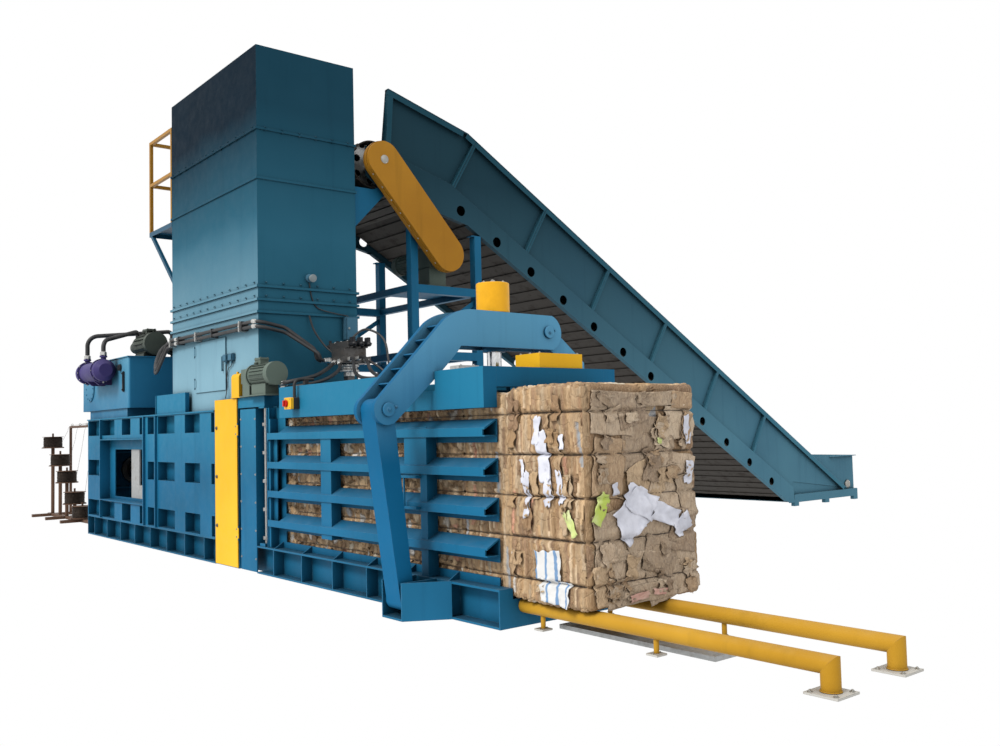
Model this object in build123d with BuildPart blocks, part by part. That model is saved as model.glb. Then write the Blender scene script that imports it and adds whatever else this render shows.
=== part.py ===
from build123d import *
import os
from math import atan2, cos, degrees, hypot, pi, radians, sin, sqrt, tan

# Recycling baler with its feed tower, slat conveyor, wire stand and run-out rails.
# Millimetres. +X is the pressing direction, -Y the working side, +Z up.
# The origin lies on the floor under the middle of the bale channel.

os.makedirs("parts", exist_ok=True)

# Bale channel and press chamber
channel_width = 1100
channel_height = 1464
sheet = 12
rib_reach = 122
skid_height = 276
deck_height = 200
deck_sheet = 20
gap = 0.3
running_fit = 0.05

half_width = channel_width / 2
side_face = half_width + rib_reach
chamber_top = deck_height + channel_height

# Lengths along the machine
body_back = -5114
body_front = -391
column_length = 588
channel_start = 913
channel_end = 4430
skid_end = 4558
top_beam_start = 1194
tying_plane = 770

# Base skid
flange_sheet = 16
stiffener_pitch = 582
stiffener_first = -4792
sole_length = 300
cross_pitch = 1200

# Press body pockets
pocket_height = 225
pocket_pitch = 575
pocket_first = 288
pocket_columns = ((-5085, -4463), (-2543, -2239), (-2170, -1604), (-1273, -820), (-491, -403))
window_pockets = ((-4439, -3880), (-3561, -3207), (-2846, -2659))
recess_z = (540, 1371)
window_x = (-4200, -2740)
window_z = (582, 1238)
body_flanges = (-4463, -2659, -2227)
flange_proud = 30
roof_sheet = 16
body_top = chamber_top + roof_sheet

# Feed opening, ram and cylinder
feed_x = (-1700, -500)
feed_half = 500
knife_drop = 30
knife_width = 40
ram_front = -2000
ram_length = 1560
ram_front_sheet = 100
ram_wall = 20
ram_hole_x = (-3240, -2600)
ram_hole_z = (758, 1300)
ram_side_gap = 6
shoe_height = 15
shoe_width = 120
ram_stroke = 1600
cylinder_z = 920
barrel_r = 140
bore_r = 110
rod_r = 75
piston_length = 100
gland_length = 60
bulkhead_sheet = 40
barrel_front = -3140

# Feed tower
tower_x = (-1875, 564)
tower_half = 590
tower_wall = 10
tower_top = 5520
joint_low = 2960
joint_mid = 4080
joint_high = 4610
ring_proud = 22
ring_height = 26
ring_heights = (2690, 2820, joint_low)
inlet_x = (-1780, 440)
inlet_z = (3720, tower_top - 190)
door_x = (-1088, -272)
door_z = (1924, 2455)
door_sheet = 8
door_proud = 14

# Service platform
platform_length = 815
platform_z = 4070
rail_height = 1200
tube = 40

# Oil tank and pumps
tank_x = (-5373, -3280)
tank_y = (-672, 600)
tank_z = (1800, 2500)
plinth_x = (-5100, -3420)
cooler_x = (-4640, -3680)
cooler_y = -845
cooler_z = 2330
cooler_r = 150
pump_y = (-250, 250)
motor_r = 150
motor_length = 560
motor_end = -3420

# Tying unit
column_top = 1790
column_front_x = body_front + column_length
housing_end = 830
housing_back = -400
door_gap = 4
hinge_pin_r = 8
lug_half = 5
tying_motor_r = 118
tying_motor_x = (600, 1100)
tying_axis_y = -645
tying_axis_z = 2003
guard_x = (110, 300)
guard_r = 47
twister_y = -615
twister_r = 16
wire_heights = (360, 645, 930, 1215, 1500)
slot_height = 60
slot_length = 60
front_plate_x = (283, 658)
slot_end = 883

# Needles on the far side
needle_rest = 590
needle_length = 1190
needle_stroke = 1165
needle_width = 36
needle_sheet = 12
carriage_depth = 80
guide_r = 20
guide_heights = (316, 1610)
needle_post_y = 3110
needle_rod_r = 22
needle_barrel_r = 40

# Shelf ribs of the channel
rib_tops = (553, 842, 1126, 1411)
rib_height = 110
rib_rise = 62
lip_height = 65
rib_web = 10
lip_setback = 25
slope_setback = 250
wall_end = 1100
strut_x = (930, 1015)
post_one = (1991, 2179)
post_two = (3590, 3680)
post_two_panel = 3371
top_beam_z = (1553, 1852)
notch_top = 1700

# Pressure plate in the channel roof
plate_x = (2520, 4300)
plate_half = 520
plate_sheet = 20
plate_lift = 2.0
hinge_r = 20

# Tension clamp
clamp_x = 3668
lever_gap = 205
bracket_gap = 250
tension_x = 3668
lever_sheet = 45
near_base = (-905, 130)
near_top = (-1090, 1560)
far_top = (520, 2202)
lever_end_r = 115
pin_r = 45
arm_gap = 4
bracket_reach = 990
bracket_height = 280
tension_y = 47
tension_r = 95
cap_r = 138
tension_z = (far_top[1] - 172, far_top[1] + 218)
cap_top = far_top[1] + 398
tension_rod_r = 60
tension_lift = 42

# Valve manifold beside the tower, over the channel roof
manifold_x = (794, 1124)
manifold_y = (80, 420)
manifold_z = (2120, 2190)
fitting_x = (850, 930)
fitting_y = 40

# Bales and wires
bale_length = 1345
bale_end = 5320
bale_half = 543
bale_height = 1461
bale_round = 70
bale_swell = 16
waste_start = 1000
wire_side = 4

# Run-out rails
rail_r = 52.5
rail_top = 200
rail_end = 7030
rail_spacing = 660
rail_shift = -120
foot_size = 200
foot_sheet = 12
tray_x = (4800, 6150)
tray_rim = 30

# Conveyor, in the plane of Y and Z
conveyor_x = (-1820, 506)
head_y = 920
head_z = 4500
head_r = 280
knee_y = 2000
incline = 30.6
head_slope = 15.5
tail_knee_y = 8900
tail_y = 10600
tail_r = 130
run_depth = 300
skirt_height = 655
skirt_setback = 60
stringer_sheet = 10
stringer_drop = 85
hole_drop = 277
belt_sheet = 14
slat_pitch = 200
slat_size = (26, 14)
hole_r = 65
hole_count = 12
hole_pitch = 651
conveyor_end = 10820
drive_y = 1810
drive_z = 3500
low_knee = (2218, 3919)
lip_top = 190
lip_low = 60
trough_top = 780
shaft_r = 45
tail_shaft_r = 30
drive_guard_r = 212
drive_guard_depth = 120
support_y = (1420, 2370)
support_tube = 100
platform_beam_z = 3130

# Wire stand
spool_x = (-9150, -8650, -8220, -7740, -7280)
spool_tops = (1450, 1130, 840, 490, 270)
spool_y = -150
spool_r = 180
spool_height = 200


def plate(x, y, z, mode=Mode.ADD):
    """A flat plate or block between two limits along each axis."""
    with Locations((sum(x) / 2, sum(y) / 2, sum(z) / 2)):
        Box(abs(x[1] - x[0]), abs(y[1] - y[0]), abs(z[1] - z[0]), mode=mode)


def profile_x(points, x, mode=Mode.ADD):
    """A profile of (y, z) points drawn out along X."""
    with BuildSketch(Plane.YZ.offset(min(x))) as face:
        with BuildLine():
            Polyline(*points, close=True)
        make_face()
    extrude(face.sketch, amount=abs(x[1] - x[0]), mode=mode)


def profile_y(points, y, mode=Mode.ADD):
    """A profile of (x, z) points drawn out along Y."""
    with BuildSketch(Plane.XZ.offset(-max(y))) as face:
        with BuildLine():
            Polyline(*points, close=True)
        make_face()
    extrude(face.sketch, amount=abs(y[1] - y[0]), mode=mode)


def round_bar(centre, axis, radius, length, mode=Mode.ADD):
    """A round bar on a middle point, along the X, Y or Z axis."""
    turn = {"X": (0, 90, 0), "Y": (90, 0, 0), "Z": (0, 0, 0)}[axis]
    with Locations(Location(centre, turn)):
        Cylinder(radius, length, mode=mode)


def tube_bar(start, end, radius, mode=Mode.ADD):
    """A round bar between two points."""
    run = Vector(*end) - Vector(*start)
    with BuildSketch(Plane(origin=start, z_dir=run)) as face:
        Circle(radius)
    extrude(face.sketch, amount=run.length, mode=mode)


def flat_bar(start, end, width, thickness, x, mode=Mode.ADD):
    """A bar between two (y, z) points, with its thickness along X from x."""
    middle = ((start[0] + end[0]) / 2, (start[1] + end[1]) / 2)
    run = (end[0] - start[0], end[1] - start[1])
    with BuildSketch(Plane.YZ.offset(x)) as face:
        with Locations(Location((middle[0], middle[1], 0), (0, 0, degrees(atan2(run[1], run[0]))))):
            Rectangle(hypot(*run), width)
    extrude(face.sketch, amount=thickness, mode=mode)


def save(builder, label):
    """Write one finished piece."""
    builder.part.label = label
    export_step(builder.part, f"parts/{label}.step")


# Base skid: two flanged side webs with stiffeners, a deck between them and sole plates
skid_web = (half_width, half_width + sheet)
with BuildPart() as base_skid:
    for side in (-1, 1):
        web = [side * v for v in skid_web]
        profile_x(
            [
                (web[0], 0),
                (side * side_face, 0),
                (side * side_face, flange_sheet),
                (web[1], flange_sheet),
                (web[1], skid_height - flange_sheet),
                (side * side_face, skid_height - flange_sheet),
                (side * side_face, skid_height),
                (web[0], skid_height),
            ],
            (body_back, skid_end),
        )
        stiffeners = int((skid_end - body_back) // stiffener_pitch)
        for n in range(stiffeners):
            x = stiffener_first + stiffener_pitch * n
            plate((x, x + sheet), (web[1], side * side_face), (flange_sheet, skid_height - flange_sheet))
        plate((skid_end - sheet, skid_end), (web[1], side * side_face), (flange_sheet, skid_height - flange_sheet))
        plate((body_back, body_back + sheet), (web[1], side * side_face), (flange_sheet, skid_height - flange_sheet))
    plate((body_back, skid_end), (-half_width, half_width), (deck_height - deck_sheet, deck_height))
    plate((skid_end - sheet, skid_end), (-half_width, half_width), (0, deck_height - deck_sheet))
    plate((body_back, body_back + sheet), (-half_width, half_width), (0, deck_height - deck_sheet))
    soles_back = int((-body_back - sole_length / 2) // cross_pitch)
    soles_front = int((skid_end - sole_length / 2) // cross_pitch)
    for n in range(-soles_back, soles_front + 1):
        x = n * cross_pitch
        plate((x - sole_length / 2, x + sole_length / 2), (-half_width, half_width), (0, flange_sheet))
        plate((x, x + sheet), (-half_width, half_width), (flange_sheet, deck_height - deck_sheet))
    column_clear = (body_front - door_gap, front_plate_x[1] + door_gap)
    plate(column_clear, (-side_face, -skid_web[1]), (0, skid_height), mode=Mode.SUBTRACT)
save(base_skid, "base_skid")

# Press body side wall: inner plate, long ribs, pierced outer skin, webs and body flanges
pocket_rows = []
for n in range(3):
    row = pocket_first + pocket_pitch * n
    pocket_rows.append((row, min(row + pocket_height, chamber_top - sheet)))
with BuildPart() as press_side_near:
    plate((body_back, body_front), (-half_width - sheet, -half_width), (skid_height, chamber_top))
    plate((body_back, body_front), (-side_face, -side_face + sheet), (skid_height, chamber_top))
    inner = (-side_face + sheet, -half_width - sheet)
    for row in pocket_rows:
        for z in (row[0] - sheet, row[1]):
            plate((body_back, body_front), inner, (z, z + sheet))
    for x in (body_back, body_front - sheet):
        plate((x, x + sheet), inner, (skid_height, chamber_top))
    for n, row in enumerate(pocket_rows):
        columns = pocket_columns if n == 1 else pocket_columns + window_pockets
        for column in columns:
            for x in (column[0] - sheet, column[1]):
                plate((x, x + sheet), inner, row)
            plate(column, (-side_face, -side_face + sheet), row, mode=Mode.SUBTRACT)
    recess_x = (body_flanges[0] + 2 * sheet, body_flanges[1])
    plate(recess_x, (-side_face, inner[1]), recess_z, mode=Mode.SUBTRACT)
    plate(window_x, (inner[1], -half_width), window_z, mode=Mode.SUBTRACT)
    for z in (recess_z[0] - sheet, recess_z[1]):
        plate(recess_x, (-side_face - flange_proud, inner[1]), (z, z + sheet))
    for x in (recess_x[0] - sheet, recess_x[1]):
        plate((x, x + sheet), inner, (recess_z[0] - sheet, recess_z[1] + sheet))
    for x in body_flanges:
        plate((x, x + 2 * sheet), (-side_face - flange_proud, -side_face), (skid_height, chamber_top))
save(press_side_near, "press_side_near")

with BuildPart() as press_side_far:
    mirror(press_side_near.part, about=Plane.XZ)
save(press_side_far, "press_side_far")

# Roof over the press body with the feed opening, an edge flange and the upright bracket plate
with BuildPart() as press_roof:
    plate((body_back, body_front), (-side_face - flange_proud / 2, side_face + flange_proud / 2), (chamber_top, body_top))
    plate(feed_x, (-feed_half, feed_half), (chamber_top, body_top), mode=Mode.SUBTRACT)
    bracket_x = (-2260, -1255)
    plate(bracket_x, (-side_face + sheet, -side_face + 2 * sheet), (body_top, body_top + 235))
    for x in (bracket_x[0], bracket_x[1] - sheet):
        plate((x, x + sheet), (-side_face, -tower_half - ring_proud - 10), (body_top, body_top + 235))
save(press_roof, "press_roof")

# Rear bulkhead that takes the thrust of the main cylinder
with BuildPart() as rear_bulkhead:
    plate((body_back, body_back + bulkhead_sheet), (-half_width, half_width), (deck_height, chamber_top))
    for z in (cylinder_z - 2 * barrel_r, cylinder_z + 2 * barrel_r - 30):
        plate((body_back + bulkhead_sheet, body_back + 4 * bulkhead_sheet), (-half_width, half_width), (z, z + 30))
    round_bar((body_back, 0, cylinder_z), "X", 90, 4 * bulkhead_sheet, mode=Mode.SUBTRACT)
save(rear_bulkhead, "rear_bulkhead")

# Fixed shear knife under the front edge of the feed opening, and its backing bar
with BuildPart() as shear_knife:
    profile_y(
        [
            (feed_x[1], chamber_top),
            (feed_x[1], chamber_top - knife_drop),
            (feed_x[1] + knife_width, chamber_top - knife_drop),
            (feed_x[1] + knife_width + knife_drop, chamber_top),
        ],
        (-half_width, half_width),
    )
save(shear_knife, "shear_knife")

# Main cylinder: flange, barrel and front gland on a stand
flange_back = body_back + bulkhead_sheet
piston_back = flange_back + 90
with BuildPart() as main_cylinder:
    with BuildSketch(Plane.XY) as cylinder_half:
        with BuildLine():
            Polyline(
                (flange_back, 0),
                (flange_back, 1.45 * barrel_r),
                (flange_back + 50, 1.45 * barrel_r),
                (flange_back + 50, barrel_r),
                (barrel_front - gland_length, barrel_r),
                (barrel_front - gland_length, 1.1 * barrel_r),
                (barrel_front, 1.1 * barrel_r),
                (barrel_front, rod_r + running_fit),
                (barrel_front - gland_length, rod_r + running_fit),
                (barrel_front - gland_length, bore_r),
                (flange_back + 60, bore_r),
                (flange_back + 60, 0),
                close=True,
            )
        make_face()
    revolve(cylinder_half.sketch.moved(Location((0, 0, cylinder_z))), axis=Axis((0, 0, cylinder_z), (1, 0, 0)))
save(main_cylinder, "main_cylinder")

# Piston and rod, bolted to the inside of the ram's front
with BuildPart() as piston_rod:
    rod_front = ram_front - ram_front_sheet
    round_bar(((piston_back + rod_front) / 2, 0, cylinder_z), "X", rod_r, rod_front - piston_back)
    round_bar((piston_back + piston_length / 2, 0, cylinder_z), "X", bore_r - running_fit, piston_length)
    round_bar((rod_front - 25, 0, cylinder_z), "X", 2 * rod_r, 50)
save(piston_rod, "piston_rod")

# Ram carriage: thick front, box walls open at the back, shoes underneath and a knife edge on top
ram_half = half_width - ram_side_gap
ram_bottom = deck_height + gap + shoe_height
ram_top = chamber_top - knife_drop - 4
ram_back = ram_front - ram_length
with BuildPart() as ram:
    plate((ram_back, ram_front), (-ram_half, ram_half), (ram_bottom, ram_top))
    plate(
        (ram_back, ram_front - ram_front_sheet),
        (-ram_half + ram_wall, ram_half - ram_wall),
        (ram_bottom + ram_wall, ram_top - ram_wall),
        mode=Mode.SUBTRACT,
    )
    plate(ram_hole_x, (-ram_half, ram_half), ram_hole_z, mode=Mode.SUBTRACT)
    for z in wire_heights:
        plate((ram_front - 40, ram_front), (-ram_half, ram_half), (z - 25, z + 25), mode=Mode.SUBTRACT)
    for y in (-1, 1):
        edge = (y * (ram_half - shoe_width), y * ram_half)
        plate((ram_back, ram_front), edge, (deck_height + gap, ram_bottom))
save(ram, "ram")


def tower_section(z, foot):
    """One open section of the feed tower with a lip at its foot."""
    x0, x1 = tower_x
    plate(tower_x, (-tower_half, tower_half), z)
    if foot:
        lip = ring_proud - 8
        plate((x0 - lip, x1 + lip), (-tower_half - lip, tower_half + lip), (z[0], z[0] + ring_height))
    plate(
        (x0 + tower_wall, x1 - tower_wall),
        (-tower_half + tower_wall, tower_half - tower_wall),
        z,
        mode=Mode.SUBTRACT,
    )


door_hinge = (door_x[0] - 40, -tower_half - door_proud)

# Feed tower, base section: angle rings outside, a slope inside that leads to the feed opening
tower_inner = tower_half - tower_wall
with BuildPart() as hopper_base:
    tower_section((body_top, joint_low), False)
    for z in ring_heights:
        plate(
            (tower_x[0] - ring_proud, tower_x[1] + ring_proud),
            (-tower_half - ring_proud, tower_half + ring_proud),
            (z - ring_height, z),
        )
        plate(
            (tower_x[0] + tower_wall, tower_x[1] - tower_wall),
            (-tower_inner, tower_inner),
            (z - ring_height, z),
            mode=Mode.SUBTRACT,
        )
    slope_top = joint_low - 120
    profile_y(
        [
            (feed_x[1], body_top),
            (feed_x[1] + 20, body_top),
            (tower_x[1] - tower_wall, slope_top - 20),
            (tower_x[1] - tower_wall, slope_top),
        ],
        (-tower_inner, tower_inner),
    )
    plate(door_x, (-tower_half, -tower_inner), door_z, mode=Mode.SUBTRACT)
    for z in (door_z[0] + 80, door_z[1] - 80):
        for low in (z - 65, z + 45 + gap):
            plate((door_hinge[0] - 10, door_hinge[0] + 10), (door_hinge[1] - 10, -tower_half), (low, low + 20 - gap))
    under_x = (body_front - 2, housing_end)
    plate(under_x, (-tower_half - 1, housing_back + 2), (body_top, column_top + 2), mode=Mode.SUBTRACT)
save(hopper_base, "hopper_base")

# Feed tower, middle section with the lower part of the conveyor inlet
with BuildPart() as hopper_middle:
    tower_section((joint_low, joint_high), False)
    for z in (joint_mid,):
        lip = ring_proud - 8
        plate((tower_x[0] - lip, tower_x[1] + lip), (-tower_half - lip, tower_half + lip), (z, z + ring_height))
        plate(
            (tower_x[0] + tower_wall, tower_x[1] - tower_wall),
            (-tower_inner, tower_inner),
            (z, z + ring_height),
            mode=Mode.SUBTRACT,
        )
    plate(inlet_x, (tower_inner, tower_half + ring_proud), (inlet_z[0], joint_high), mode=Mode.SUBTRACT)
save(hopper_middle, "hopper_middle")

# Feed tower, top section, open above and to the conveyor
with BuildPart() as hopper_top:
    tower_section((joint_high, tower_top), True)
    plate(inlet_x, (tower_inner, tower_half + ring_proud), (joint_high, inlet_z[1]), mode=Mode.SUBTRACT)
save(hopper_top, "hopper_top")

# Inspection door on the working side of the tower, hung on two lugs
with BuildPart() as hopper_door:
    plate((door_x[0] - 25, door_x[1] + 25), (-tower_half - door_proud, -tower_half - gap), (door_z[0] - 25, door_z[1] + 25))
    for z in (door_z[0] + 80, door_z[1] - 80):
        round_bar((door_hinge[0], door_hinge[1], z), "Z", 12, 90)
        plate((door_hinge[0], door_x[0]), (door_hinge[1] - 4, door_hinge[1] + 4), (z - 45, z + 45))
    round_bar((door_x[1] - 30, -tower_half - door_proud - 20, sum(door_z) / 2), "Z", 10, 160)
    for z in (-70, 70):
        round_bar((door_x[1] - 30, -tower_half - door_proud - 8, sum(door_z) / 2 + z), "Y", 8, 24)
save(hopper_door, "hopper_door")

# Service platform on the back of the tower: tread, brace and railing
platform_x = (tower_x[0] - platform_length, tower_x[0] - ring_proud + 8)
with BuildPart() as service_platform:
    plate(platform_x, (-tower_half, tower_half), (platform_z - 60, platform_z))
    plate(
        (platform_x[0] + 8, platform_x[1] - 8),
        (-tower_half + 8, tower_half - 8),
        (platform_z - 60, platform_z - 6),
        mode=Mode.SUBTRACT,
    )
    rail_y = (-tower_half + tube / 2, tower_half - tube / 2)
    rail_x = (platform_x[0] + tube / 2, platform_x[1] - tube / 2)
    top = platform_z + rail_height
    for y in rail_y:
        for x in rail_x:
            plate((x - tube / 2, x + tube / 2), (y - tube / 2, y + tube / 2), (platform_z, top))
        for z in (platform_z + rail_height / 2, top - tube):
            plate((rail_x[0], rail_x[1]), (y - tube / 2, y + tube / 2), (z, z + tube))
        brace = platform_length - 100
        profile_y(
            [
                (platform_x[0] + 40, platform_z - 60),
                (platform_x[0] + 100, platform_z - 60),
                (tower_x[0], platform_z - 60 - brace + 60),
                (tower_x[0], platform_z - 60 - brace),
            ],
            (y - tube / 2, y + tube / 2),
        )
    for z in (platform_z + rail_height / 2, top - tube):
        plate((rail_x[0] - tube / 2, rail_x[0] + tube / 2), rail_y, (z, z + tube))
save(service_platform, "service_platform")

# Oil tank on its plinth, with a clean-out cover on the near face and a filler cap
with BuildPart() as oil_tank:
    plate(tank_x, tank_y, tank_z)
    fillet(oil_tank.edges().filter_by(Axis.Z), radius=30)
    plate(plinth_x, (tank_y[0] + 30, tank_y[1] - 30), (body_top, tank_z[0]))
    plate((tank_x[0] - 15, tank_x[1] + 15), (tank_y[0] - 15, tank_y[1] + 15), (tank_z[1] - 12, tank_z[1]))
    round_bar((tank_x[0] + 350, tank_y[1] - 250, tank_z[1] + 40), "Z", 60, 80)
save(oil_tank, "oil_tank")

# Pump sets on the tank: motors with cooling fins, bell housings, pumps and the valve block
motor_z = tank_z[1] + 30 + motor_r + 14
motor_back = motor_end - motor_length
pump_x = motor_back - 200
pump_top = motor_z + 0.55 * motor_r + 30
with BuildPart() as pump_sets:
    for y in pump_y:
        round_bar(((motor_end + motor_back) / 2, y, motor_z), "X", motor_r, motor_length)
        with Locations(Location(((motor_end + motor_back) / 2, y, motor_z), (0, 90, 0))):
            with PolarLocations(motor_r + 8, 16):
                Box(24, 6, motor_length - 160)
        round_bar((motor_end - 45, y, motor_z), "X", motor_r + 12, 90)
        round_bar((motor_back - 60, y, motor_z), "X", 0.75 * motor_r, 120)
        round_bar((motor_back - 200, y, motor_z), "X", 0.55 * motor_r, 160)
        plate((motor_back + 80, motor_end - 120), (y - 130, y + 130), (tank_z[1], motor_z - motor_r + 20))
        plate((motor_back + 200, motor_back + 360), (y - 60, y + 60), (motor_z, motor_z + motor_r + 60))
        round_bar((pump_x, y, pump_top - 30), "Z", 38, 60)
    plate((motor_back - 260, motor_back - 60), (-90, 90), (tank_z[1], tank_z[1] + 180))
    for x in (motor_back - 220, motor_back - 100):
        round_bar((x, 0, tank_z[1] + 230), "Z", 28, 100)
save(pump_sets, "pump_sets")

# Oil cooler: shell with dished ends, flanges, two ports, saddles on the tank's near face
with BuildPart() as oil_cooler:
    dish = 60
    with BuildSketch(Plane.XY) as cooler_half:
        with BuildLine():
            Polyline(
                (cooler_x[0], 0),
                (cooler_x[0], cooler_r - dish),
                (cooler_x[0] + dish, cooler_r),
                (cooler_x[0] + dish + 90, cooler_r),
                (cooler_x[0] + dish + 90, cooler_r + 14),
                (cooler_x[0] + dish + 120, cooler_r + 14),
                (cooler_x[0] + dish + 120, cooler_r - 14),
                (cooler_x[1] - dish - 120, cooler_r - 14),
                (cooler_x[1] - dish - 120, cooler_r + 14),
                (cooler_x[1] - dish - 90, cooler_r + 14),
                (cooler_x[1] - dish - 90, cooler_r),
                (cooler_x[1] - dish, cooler_r),
                (cooler_x[1], cooler_r - dish),
                (cooler_x[1], 0),
                close=True,
            )
        make_face()
    revolve(cooler_half.sketch.moved(Location((0, cooler_y, cooler_z))), axis=Axis((0, cooler_y, cooler_z), (1, 0, 0)))
    port_x = (cooler_x[0] + dish + 50, cooler_x[1] - dish - 50)
    port_top = cooler_z + cooler_r + 50
    for x in port_x:
        round_bar((x, cooler_y, port_top - 50), "Z", 36, 100)
        round_bar((x, cooler_y, port_top - 10), "Z", 50, 20)
    for x in (cooler_x[0] + 330, cooler_x[1] - 330):
        profile_x(
            [
                (tank_y[0], cooler_z - 190),
                (tank_y[0], cooler_z + 60),
                (cooler_y, cooler_z),
                (cooler_y - 60, cooler_z - cooler_r + 10),
                (cooler_y, cooler_z - 190),
            ],
            (x - 20, x + 20),
        )
save(oil_cooler, "oil_cooler")


def hose(points, bend, size):
    """A hose along straight runs joined by arcs, each bend as wide as its runs allow."""
    spots = [Vector(*point) for point in points]
    radii = []
    for before, at, after in zip(spots, spots[1:], spots[2:]):
        turn = radians((at - before).get_angle(after - at))
        room = 0.45 * min((at - before).length, (after - at).length)
        radii.append(min(bend, room / tan(turn / 2)))
    with BuildLine() as route:
        FilletPolyline(*points, radius=radii)
    with BuildSketch(Plane(origin=route.line @ 0, z_dir=route.line % 0)) as face:
        Circle(size)
    sweep(face.sketch, path=route.line)


# Hoses: two thick ones from the cooler to the pumps, two long ones clipped along the tower
clip_y = -tower_half - ring_proud - 34
clip_z = 2570
hose_r = 19
thick_r = 30
fitting_z = sum(manifold_z) / 2
with BuildPart() as hydraulic_hoses:
    hose(
        [
            (port_x[0], cooler_y, port_top),
            (port_x[0], cooler_y, port_top + 330),
            (pump_x, pump_y[1], port_top + 420),
            (pump_x, pump_y[1], pump_top),
        ],
        150,
        thick_r,
    )
    hose(
        [
            (port_x[1], cooler_y, port_top),
            (port_x[1], cooler_y, port_top + 210),
            (pump_x, pump_y[0], port_top + 400),
            (pump_x, pump_y[0], pump_top),
        ],
        150,
        thick_r,
    )
    for n in (0, 1):
        down = n * 52
        hose(
            [
                (-2150, clip_y, clip_z - 220 - down),
                (-1900, clip_y, clip_z - 30 - down),
                (-1700, clip_y, clip_z - down),
                (tower_x[1] + 90 + 10 * n, clip_y, clip_z - down),
                (tower_x[1] + 95 + 10 * n, -330, clip_z - 60 - down),
                (fitting_x[n], fitting_y - 130, fitting_z + 120 - down),
                (fitting_x[n], fitting_y - 110, fitting_z),
                (fitting_x[n], fitting_y, fitting_z),
            ],
            110,
            hose_r,
        )
    for x in (-1500, -500, 300):
        plate((x, x + 24), (clip_y - hose_r - 4, -tower_half), (clip_z - 52 - hose_r - 6, clip_z + hose_r + 6))
save(hydraulic_hoses, "hydraulic_hoses")

# Tying column: open box behind the door, with the drive housing over the tying plane
column_x = (body_front, column_front_x)
column_back = -half_width - sheet
door_plane = -side_face + sheet
door_axis = (column_front_x + 6, -side_face + 6)
door_hinge_z = (370, 1450)
with BuildPart() as tying_column:
    plate(column_x, (door_plane + door_gap, column_back), (0, column_top))
    plate(
        (column_x[0] + sheet, column_x[1] - sheet),
        (door_plane + door_gap, column_back - sheet),
        (skid_height, column_top - 2 * sheet),
        mode=Mode.SUBTRACT,
    )
    plate((column_x[0], housing_end), (door_plane + door_gap, housing_back), (chamber_top + roof_sheet, column_top))
    wall_z = (skid_height, chamber_top)
    plate((column_x[0], tying_plane - slot_length / 2 - 60), (column_back, -half_width), wall_z)
    plate((tying_plane + slot_length / 2 + 60, channel_start), (column_back, -half_width), wall_z)
    for n in range(len(wire_heights) + 1):
        low = skid_height if n == 0 else wire_heights[n - 1] + slot_height / 2
        high = chamber_top if n == len(wire_heights) else wire_heights[n] - slot_height / 2
        plate((tying_plane - slot_length / 2 - 60, tying_plane + slot_length / 2 + 60), (column_back, -half_width), (low, high))
    plate(front_plate_x, (-side_face, door_plane), (10, chamber_top))
    for x in (front_plate_x[0], front_plate_x[1] - sheet, slot_end):
        plate((x, x + sheet), (door_plane, column_back), wall_z)
    plate((slot_end, channel_start), (-side_face + 2 * sheet, -side_face + 3 * sheet), wall_z)
    plate((column_x[0], channel_start), (column_back, half_width + sheet), (chamber_top, body_top))
    bore_z = ((skid_height, skid_height + 30), (chamber_top, body_top))
    for low, high in bore_z:
        plate((tying_plane - 60, tying_plane + 60), (-side_face + 10, column_back), (low, high))
        round_bar((tying_plane, twister_y, (low + high) / 2), "Z", twister_r + running_fit, 2 * (high - low), mode=Mode.SUBTRACT)
    for x in (column_x[0], channel_start - 3 * sheet):
        plate((x, x + 3 * sheet), (half_width, half_width + sheet), wall_z)
    for z in door_hinge_z:
        for low in (z - 75, z + 55 + gap):
            plate((column_x[1], door_axis[0] + lug_half), (door_axis[1] - lug_half, -side_face + 32), (low, low + 20 - gap))
save(tying_column, "tying_column")

# Far wall of the tying zone, pierced for the needles, with the guide rods, end post and cylinder
needle_rod_z = (wire_heights[2] + wire_heights[3]) / 2
with BuildPart() as needle_frame:
    far_wall = (half_width, half_width + sheet)
    far_x = (column_x[0] + 3 * sheet, channel_start - 3 * sheet)
    plate(far_x, far_wall, (skid_height, chamber_top))
    for z in wire_heights:
        plate((tying_plane - slot_length / 2, tying_plane + slot_length / 2), far_wall, (z - slot_height / 2, z + slot_height / 2), mode=Mode.SUBTRACT)
    for z in guide_heights:
        round_bar((tying_plane, (far_wall[1] + needle_post_y) / 2, z), "Y", guide_r, needle_post_y - far_wall[1])
    plate((tying_plane - 50, tying_plane + 50), (needle_post_y, needle_post_y + 100), (0, max(guide_heights) + 60))
    plate((tying_plane - 160, tying_plane + 160), (needle_post_y - 60, needle_post_y + 160), (0, flange_sheet))
    barrel_y = (needle_rest + needle_length + carriage_depth + 70, needle_post_y)
    round_bar((tying_plane, sum(barrel_y) / 2, needle_rod_z), "Y", needle_barrel_r, barrel_y[1] - barrel_y[0])
    bored = (barrel_y[0] - 1, barrel_y[1] - 15)
    round_bar((tying_plane, sum(bored) / 2, needle_rod_z), "Y", needle_rod_r + running_fit, bored[1] - bored[0], mode=Mode.SUBTRACT)
save(needle_frame, "needle_frame")

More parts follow.
